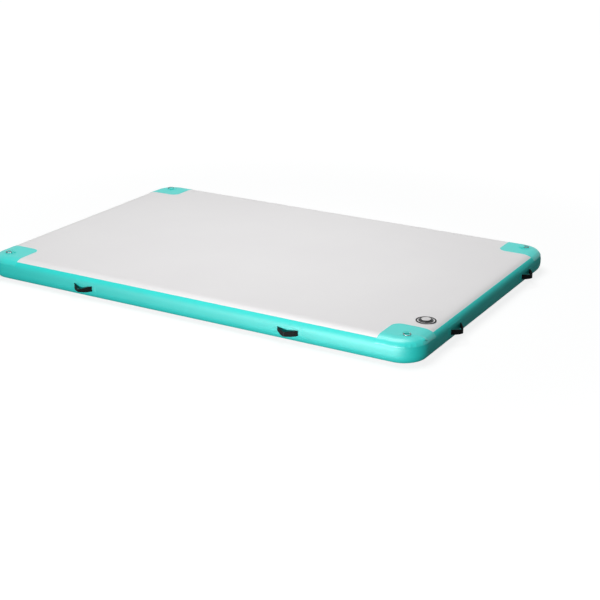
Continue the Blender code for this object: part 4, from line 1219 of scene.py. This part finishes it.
def hingeBarrel(radius, length):
    # Cylinder along Y at the cap's hinge, its rims rounded
    corners = [(0, -length / 2), (radius, -length / 2), (radius, length / 2), (0, length / 2)]
    profile = rounded(corners, [0, cap["barrelEdge"], cap["barrelEdge"], 0], closed=False)
    points = lathe(profile, (0, 0, 0), 32)["points"][..., [0, 2, 1]]
    hinge = np.array([-cap["hinge"], 0, valve["flangeThickness"] + cap["barrel"] - cap["barrelDip"]])
    return {"points": points + valveCentre + hinge, "wrap": (False, True)}


def makeHousing():
    # Flange, neck, bore and seat turned from one outline, joined to the spider that guides the stem
    rim, top, groove = valve["flange"], valve["flangeThickness"], valve["groove"]
    bevelIn, bevelLow = valve["flangeBevel"]
    floorOut, floorIn, grooveEnd = valve["grooveIn"]
    bottom = -valve["neckLength"]
    seatTop = valve["seatThickness"] - valve["neckLength"]
    # Each corner's radius and height, and how far its rounding reaches
    corners = np.array([
        (rim, 0, 0.0004), (rim, bevelLow, 0.0008), (rim - bevelIn, top, 0.001),
        (groove, top, 0.0003), (groove - floorOut, valve["grooveFloor"], 0.0003),
        (groove - floorIn, valve["grooveFloor"], 0.0003), (groove - grooveEnd, top, 0.0003),
        (valve["bore"], top, 0.0008), (valve["bore"], seatTop, 0.0004),
        (valve["seat"], seatTop, 0.0006), (valve["seat"], bottom, 0.0006),
        (valve["neck"], bottom, 0.0006), (valve["neck"], 0, 0.0003),
    ])
    outline = rounded(corners[:, :2], corners[:, 2])
    housing = makePiece("valveHousing", [lathe(outline, valveCentre, 144)], finish["blackPlastic"])
    # A shallow trough in the flange clears the barrel of the cap's tether
    gap = valve["troughGap"]
    barrel = hingeBarrel(cap["barrel"] + gap, cap["barrelLength"] + 2 * gap)
    trough = makePiece("barrelTrough", [barrel], finish["blackPlastic"])
    unite(housing, trough, operation="DIFFERENCE")
    bore, high = valve["stem"] + glue, valve["spiderTop"]
    low = high - valve["spiderThickness"]
    hubLoop = rounded(rectangle(bore, low, valve["hub"], high), valve["hubEdge"])
    hub = makePiece("spiderHub", [lathe(hubLoop, valveCentre, 48)], finish["blackPlastic"])
    half = valve["barWidth"] / 2
    intoHub, intoNeck, below = valve["barSink"]
    bars = []
    for turn in ringSteps(valve["bars"]):
        bar = roundedBox((valve["hub"] - intoHub, -half, low + below),
                         (valve["bore"] + intoNeck, half, high - below), valve["barEdge"], (0, 0, 0))
        cos, sin = math.cos(turn), math.sin(turn)
        spin = np.array([[cos, sin, 0], [-sin, cos, 0], [0, 0, 1]])
        bar["points"] = bar["points"] @ spin + valveCentre
        bars.append(makePiece("spiderBar", [bar], finish["blackPlastic"]))
    unite(housing, hub, *bars)
    place(housing, "platform", "black_plastic", "valve_housing")


def makeValveInside():
    # Poppet on its stem, the button that presses it, and the spring between button and spider
    sealTop = -valve["neckLength"] - glue
    discTop = sealTop - valve["seal"] - glue
    discLow = discTop - valve["poppetThickness"]
    stemTop = valve["buttonTop"] - valve["stemDrop"]
    corners = [(0, discLow), (valve["poppet"], discLow), (valve["poppet"], discTop),
               (valve["stem"], discTop), (valve["stem"], stemTop), (0, stemTop)]
    grid = lathe(rounded(corners, valve["poppetEdge"], closed=False), valveCentre, 64, closed=False)
    dress("valvePoppet", [grid], "greyPlastic", "valve_poppet", "grey_plastic", "valve_poppet")

    top, low = valve["buttonTop"], valve["buttonTop"] - valve["buttonThickness"]
    bore, dish = valve["stem"] + glue, top - valve["buttonDish"]
    rimShare, dishShare = valve["buttonRim"]
    # Outline in shares: 0 at the stem's bore and 1 at the button's edge, with a shallow dish on top
    corners = [(0, low), (1, low), (1, top - 0.0002), (rimShare, top), (dishShare, dish),
               (0.1, dish), (0.0, top - 0.0004)]
    profile = rounded(corners, [0.0, 0.0006, 0.0006, 0.03, 0.03, 0.02, 0.0])
    angle = ringSteps(72)
    reachX = bore + (valve["buttonLength"] / 2 - bore) * profile[:, :1]
    reachY = bore + (valve["buttonWidth"] / 2 - bore) * profile[:, :1]
    points = np.stack([reachX * np.cos(angle), reachY * np.sin(angle),
                       profile[:, 1:] + 0 * angle], -1) + valveCentre
    grid = {"points": points, "wrap": (True, True)}
    dress("valveButton", [grid], "greyPlastic", "valve_button", "grey_plastic", "valve_button")

    start = valve["spiderTop"] + glue + valve["springWire"] / 2
    end = low - glue - valve["springWire"] / 2
    turn = np.linspace(0, 2 * math.pi * valve["springTurns"], 127)
    radial = np.stack([np.cos(turn), np.sin(turn), 0 * turn], -1)
    path = radial * valve["spring"] + zAxis * np.linspace(start, end, len(turn))[:, None]
    wire = valve["springWire"] / 2 * spokes(ringSteps(10))
    grids = carry(path + valveCentre, radial, np.broadcast_to(zAxis, path.shape), wire)
    spring = dress("valveSpring", grids, "steel", "valve_poppet", "stainless_steel", "valve_spring")
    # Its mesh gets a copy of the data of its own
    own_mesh(spring)


def capHeights():
    # Undersides of the cap's parts, stacked above the flange a glue line apart
    gasket = valve["flangeThickness"] + glue
    shoulder = gasket + cap["gasket"] + glue
    lip = shoulder + cap["shoulderThickness"] + glue
    return {"gasket": gasket, "shoulder": shoulder, "lip": lip, "top": lip + cap["lip"] + glue}


def makeCap():
    # Hollow plug, shoulder and waist under a dished top whose edge is fluted for the fingers
    heights = capHeights()
    shoulderLow, capLow = heights["shoulder"], heights["top"]
    shoulderHigh, capHigh = shoulderLow + cap["shoulderThickness"], capLow + cap["top"]
    plug, plugIn = cap["plug"], cap["plug"] - cap["plugWall"]
    plugLow = valve["flangeThickness"] - cap["plugDepth"]
    dish = capHigh - cap["dishDepth"]
    bead, beadTop = cap["bead"], dish + cap["beadHeight"]
    # Each corner's radius and height, and how far its rounding reaches
    corners = np.array([
        (0, shoulderLow, 0), (plugIn, shoulderLow, 0.0006), (plugIn, plugLow, 0.0006),
        (plug, plugLow, 0.0008), (plug, shoulderLow, 0.0003), (cap["shoulder"], shoulderLow, 0.0003),
        (cap["shoulder"], shoulderHigh, 0.0003), (cap["waist"], shoulderHigh, 0.0003),
        (cap["waist"], capLow, 0.0003), (cap["radius"], capLow, 0.0004),
        (cap["radius"], capHigh, 0.0009), (cap["dish"], capHigh, 0.0006),
        (cap["dish"] - cap["dishSlope"], dish, 0.0006), (bead[0], dish, 0.0003),
        (bead[1], beadTop, 0.0003), (bead[2], beadTop, 0.0003), (bead[3], dish, 0.0003), (0, dish, 0),
    ])
    outline = rounded(corners[:, :2], corners[:, 2], closed=False)
    grid = lathe(outline, (0, 0, 0), 240, closed=False)
    points = grid["points"]
    radius = np.hypot(points[..., 0], points[..., 1])
    angle = np.arctan2(points[..., 1], points[..., 0])
    # Flutes: depth times the square of 1 - |cosine|, coming in at the rim by a smooth step
    start, full = cap["fluteRim"]
    flute = cap["fluteDepth"] * (1 - np.abs(np.cos(cap["flutes"] / 2 * angle))) ** 2
    flute = flute * smoothStep(cap["radius"] - start, cap["radius"] - full, radius)
    points[..., :2] *= (1 - flute / np.maximum(radius, 0.001))[..., None]
    grid["points"] = points + valveCentre
    dress("valveCap", [grid], "greyPlastic", "valve_cap", "grey_plastic", "valve_cap")
    inner, outer = plug + glue, plug + glue + cap["gasketWidth"]
    low, high = heights["gasket"], heights["gasket"] + cap["gasket"]
    grid = lathe(rounded(rectangle(inner, low, outer, high), cap["gasketEdge"]), valveCentre)
    dress("valveCapGasket", [grid], "rubber", "valve_cap", "black_rubber", "valve_cap_gasket")


def makeTether():
    # Ring that holds the cap, with a hinge barrel and lug on one side and a lift tab on the other
    low, lipLow = capHeights()["gasket"], capHeights()["lip"]
    lipHigh = lipLow + cap["lip"]
    skirt, waist = cap["shoulder"] + glue, cap["waist"] + glue
    corners = [(skirt, low), (cap["tether"], low), (cap["tether"], lipHigh), (waist, lipHigh),
               (waist, lipLow), (skirt, lipLow)]
    loop = rounded(corners, [0.0003, 0.0005, 0.0014, 0.0004, 0.0003, 0.0003])
    hingeZ = valve["flangeThickness"] + cap["barrel"] - cap["barrelDip"]
    root = cap["tether"] - cap["barrel"]
    lugHigh = hingeZ + cap["barrel"] / 2
    lugHalf, liftHalf = cap["lug"] / 2, cap["liftWidth"] / 2
    liftEnd = cap["tether"] + cap["liftReach"]
    grids = {
        "valveTether": lathe(loop, valveCentre, 144),
        "tetherLug": roundedBox((-cap["hinge"], -lugHalf, low), (-root, lugHalf, lugHigh),
                                cap["lugEdge"], valveCentre),
        "tetherBarrel": hingeBarrel(cap["barrel"], cap["barrelLength"]),
        "tetherTab": roundedBox((root, -liftHalf, low + cap["liftGap"]), (liftEnd, liftHalf, lugHigh),
                                cap["liftEdge"], valveCentre),
    }
    ribHalf = liftHalf - cap["ribInset"]
    for number, out in enumerate(cap["ribs"]):
        start = cap["tether"] + out
        grids[f"tabRib_{number}"] = roundedBox(
            (start, -ribHalf, lugHigh - cap["ribHeight"]),
            (start + cap["ribWidth"], ribHalf, lugHigh + cap["ribHeight"]),
            cap["ribEdge"], valveCentre)
    ring, *others = [makePiece(name, [grid], finish["blackPlastic"]) for name, grid in grids.items()]
    unite(ring, *others)
    place(ring, "valve_tether", "black_plastic", "valve_cap_tether")


makeValveSurround()
makeHousing()
makeValveInside()
makeCap()
makeTether()
print("valve made")


# CAD nodes that stay as they are, with a finish of their own

cadFinish = {
    "drop_stitch_core": "baseCloth",
    **{f"inner_wall_{side}": "tape" for side in sideAngles},
    "valve_gasket": "rubber",
    "valve_nut": "blackPlastic",
    "valve_poppet_seal": "rubber",
}
for node, look in cadFinish.items():
    for slot in frame["nodes"][node].material_slots:
        slot.material = finish[look]


# Studio

studio = {
    "floorSize": 60.0,
    "floorGlow": (0.84, 1.0),  # white that the camera sees in the floor: under the lamps, and far off
    "glowReach": (1.6, 5.5),   # where the one turns to the other, in metres from the middle
    "floorMirrored": 0.3,      # how much of that white shows in reflections
    "floorSeen": "#7B7C7C",
    "floorBounce": "#606161",
    "sky": 0.1,
}
# The front lamp throws no mirror glare on the deck; a low strip below deck height gives the band
# its sheen
lamps = {
    "topSoftbox": {"power": 230.0, "size": (3.0, 3.0), "spot": (-0.2, -0.1, 5.2), "aim": (0, 0, 0)},
    "frontSoftbox": {
        "power": 251.0, "size": (1.5, 0.75), "spot": (1.35, -6.4, 0.42), "aim": (1.35, -0.9, 0.1),
        "hidden": ["visible_glossy"]},
    "sheenStrip": {
        "power": 68.0, "size": (3.23, 0.18), "spot": (0.0, -2.0, 0.1), "aim": (-0.37, -1.07, 0.1),
        "hidden": ["visible_diffuse", "visible_camera"]},
}
camera = {
    "azimuth": 29.3893, "elevation": 20.0654, "roll": 0.4879,
    "distance": 8.0227, "lens": 80.514, "target": (0.5305, -0.5434, 0.075),
}


def makeFloor():
    # White sweep: the camera sees it glow, under a soft shadow, and it throws little light back
    size = studio["floorSize"] / 2
    mesh = bpy.data.meshes.new("floor")
    corners = [(*corner, 0) for corner in rectangle(-size, -size, size, size)]
    mesh.from_pydata(corners, [], [range(4)])
    floor = bpy.data.objects.new("floor", mesh)
    bpy.context.scene.collection.objects.link(floor)
    material, tree, shader = newMaterial("paintedStudioFloor", 0.9)
    shader.inputs["Specular IOR Level"].default_value = 0.0
    rays = addNode(tree, "ShaderNodeLightPath")
    seen = addMath(tree, "MAXIMUM", (rays, "Is Camera Ray"), (rays, "Is Transmission Ray"))
    mirrored = addMath(tree, "MULTIPLY_ADD", (rays, "Is Glossy Ray"), studio["floorMirrored"],
                       (seen, 0))
    tintBy(tree, shader, (seen, 0), studio["floorBounce"], studio["floorSeen"])
    space = addNode(tree, "ShaderNodeTexCoord")
    away = addNode(tree, "ShaderNodeVectorMath", {"operation": "LENGTH"}, {0: (space, "Object")})
    (near, far), (under, beyond) = studio["glowReach"], studio["floorGlow"]
    level = addNode(tree, "ShaderNodeMapRange",
                    {"interpolation_type": "SMOOTHSTEP", "From Min": near, "From Max": far,
                     "To Min": under, "To Max": beyond}, {"Value": (away, 1)})
    shader.inputs["Emission Color"].default_value = toLinear("#FFFFFF")
    glow = addMath(tree, "MULTIPLY", (mirrored, 0), (level, 0))
    tree.links.new(glow.outputs[0], shader.inputs["Emission Strength"])
    mesh.materials.append(material)


def makeLamp(name, power, size, spot, aim, hidden=()):
    # Panel of size (width, height) at its spot, whose face is turned towards its aim, and the kinds
    # of ray it is hidden from
    lamp = bpy.data.lights.new(name, "AREA")
    lamp.energy = power
    lamp.shape = "RECTANGLE"
    lamp.size, lamp.size_y = size
    item = bpy.data.objects.new(name, lamp)
    item.location = spot
    direction = np.array(aim, float) - np.array(spot, float)
    tilt = math.atan2(math.hypot(direction[0], direction[1]), -direction[2])
    item.rotation_euler = (tilt, 0, math.atan2(-direction[0], direction[1]))
    for kind in hidden:
        setattr(item, kind, False)
    bpy.context.scene.collection.objects.link(item)


def makeWorld():
    # White to the camera and in reflections, dim for the light it throws
    world = bpy.data.worlds.new("studio")
    bpy.context.scene.world = world
    world.use_nodes = True
    tree = world.node_tree
    sky = tree.nodes["Background"]
    sky.inputs["Color"].default_value = toLinear("#FFFFFF")
    rays = addNode(tree, "ShaderNodeLightPath")
    seen = addMath(tree, "MAXIMUM", (rays, "Is Camera Ray"), (rays, "Is Glossy Ray"))
    seen = addMath(tree, "MAXIMUM", (seen, 0), (rays, "Is Transmission Ray"))
    strength = addNode(tree, "ShaderNodeMapRange", {"To Min": studio["sky"], "To Max": 1.0},
                       {"Value": (seen, 0)})
    tree.links.new(strength.outputs[0], sky.inputs["Strength"])


def makeCamera():
    # Camera at a distance from its target along azimuth and elevation, rolled about its view axis
    data = bpy.data.cameras.new("photoCamera")
    data.lens = camera["lens"]
    data.sensor_width = 36.0
    data.clip_end = 200.0
    item = bpy.data.objects.new("photoCamera", data)
    azimuth, elevation, roll = (math.radians(camera[key]) for key in ("azimuth", "elevation", "roll"))
    level = math.cos(elevation)
    back = np.array([math.sin(azimuth) * level, -math.cos(azimuth) * level, math.sin(elevation)])
    right = np.array([math.cos(azimuth), math.sin(azimuth), 0])
    up = np.cross(back, right)
    turnedRight = math.cos(roll) * right + math.sin(roll) * up
    turnedUp = math.cos(roll) * up - math.sin(roll) * right
    spot = np.array(camera["target"]) + back * camera["distance"]
    axes = np.stack([turnedRight, turnedUp, back, spot], -1)
    item.matrix_world = Matrix([*axes.tolist(), (0, 0, 0, 1)])
    bpy.context.scene.collection.objects.link(item)
    bpy.context.scene.camera = item


makeFloor()
makeWorld()
for name, lamp in lamps.items():
    makeLamp(name, **lamp)
makeCamera()
bpy.context.scene.view_settings.view_transform = "Standard"
print("studio made")
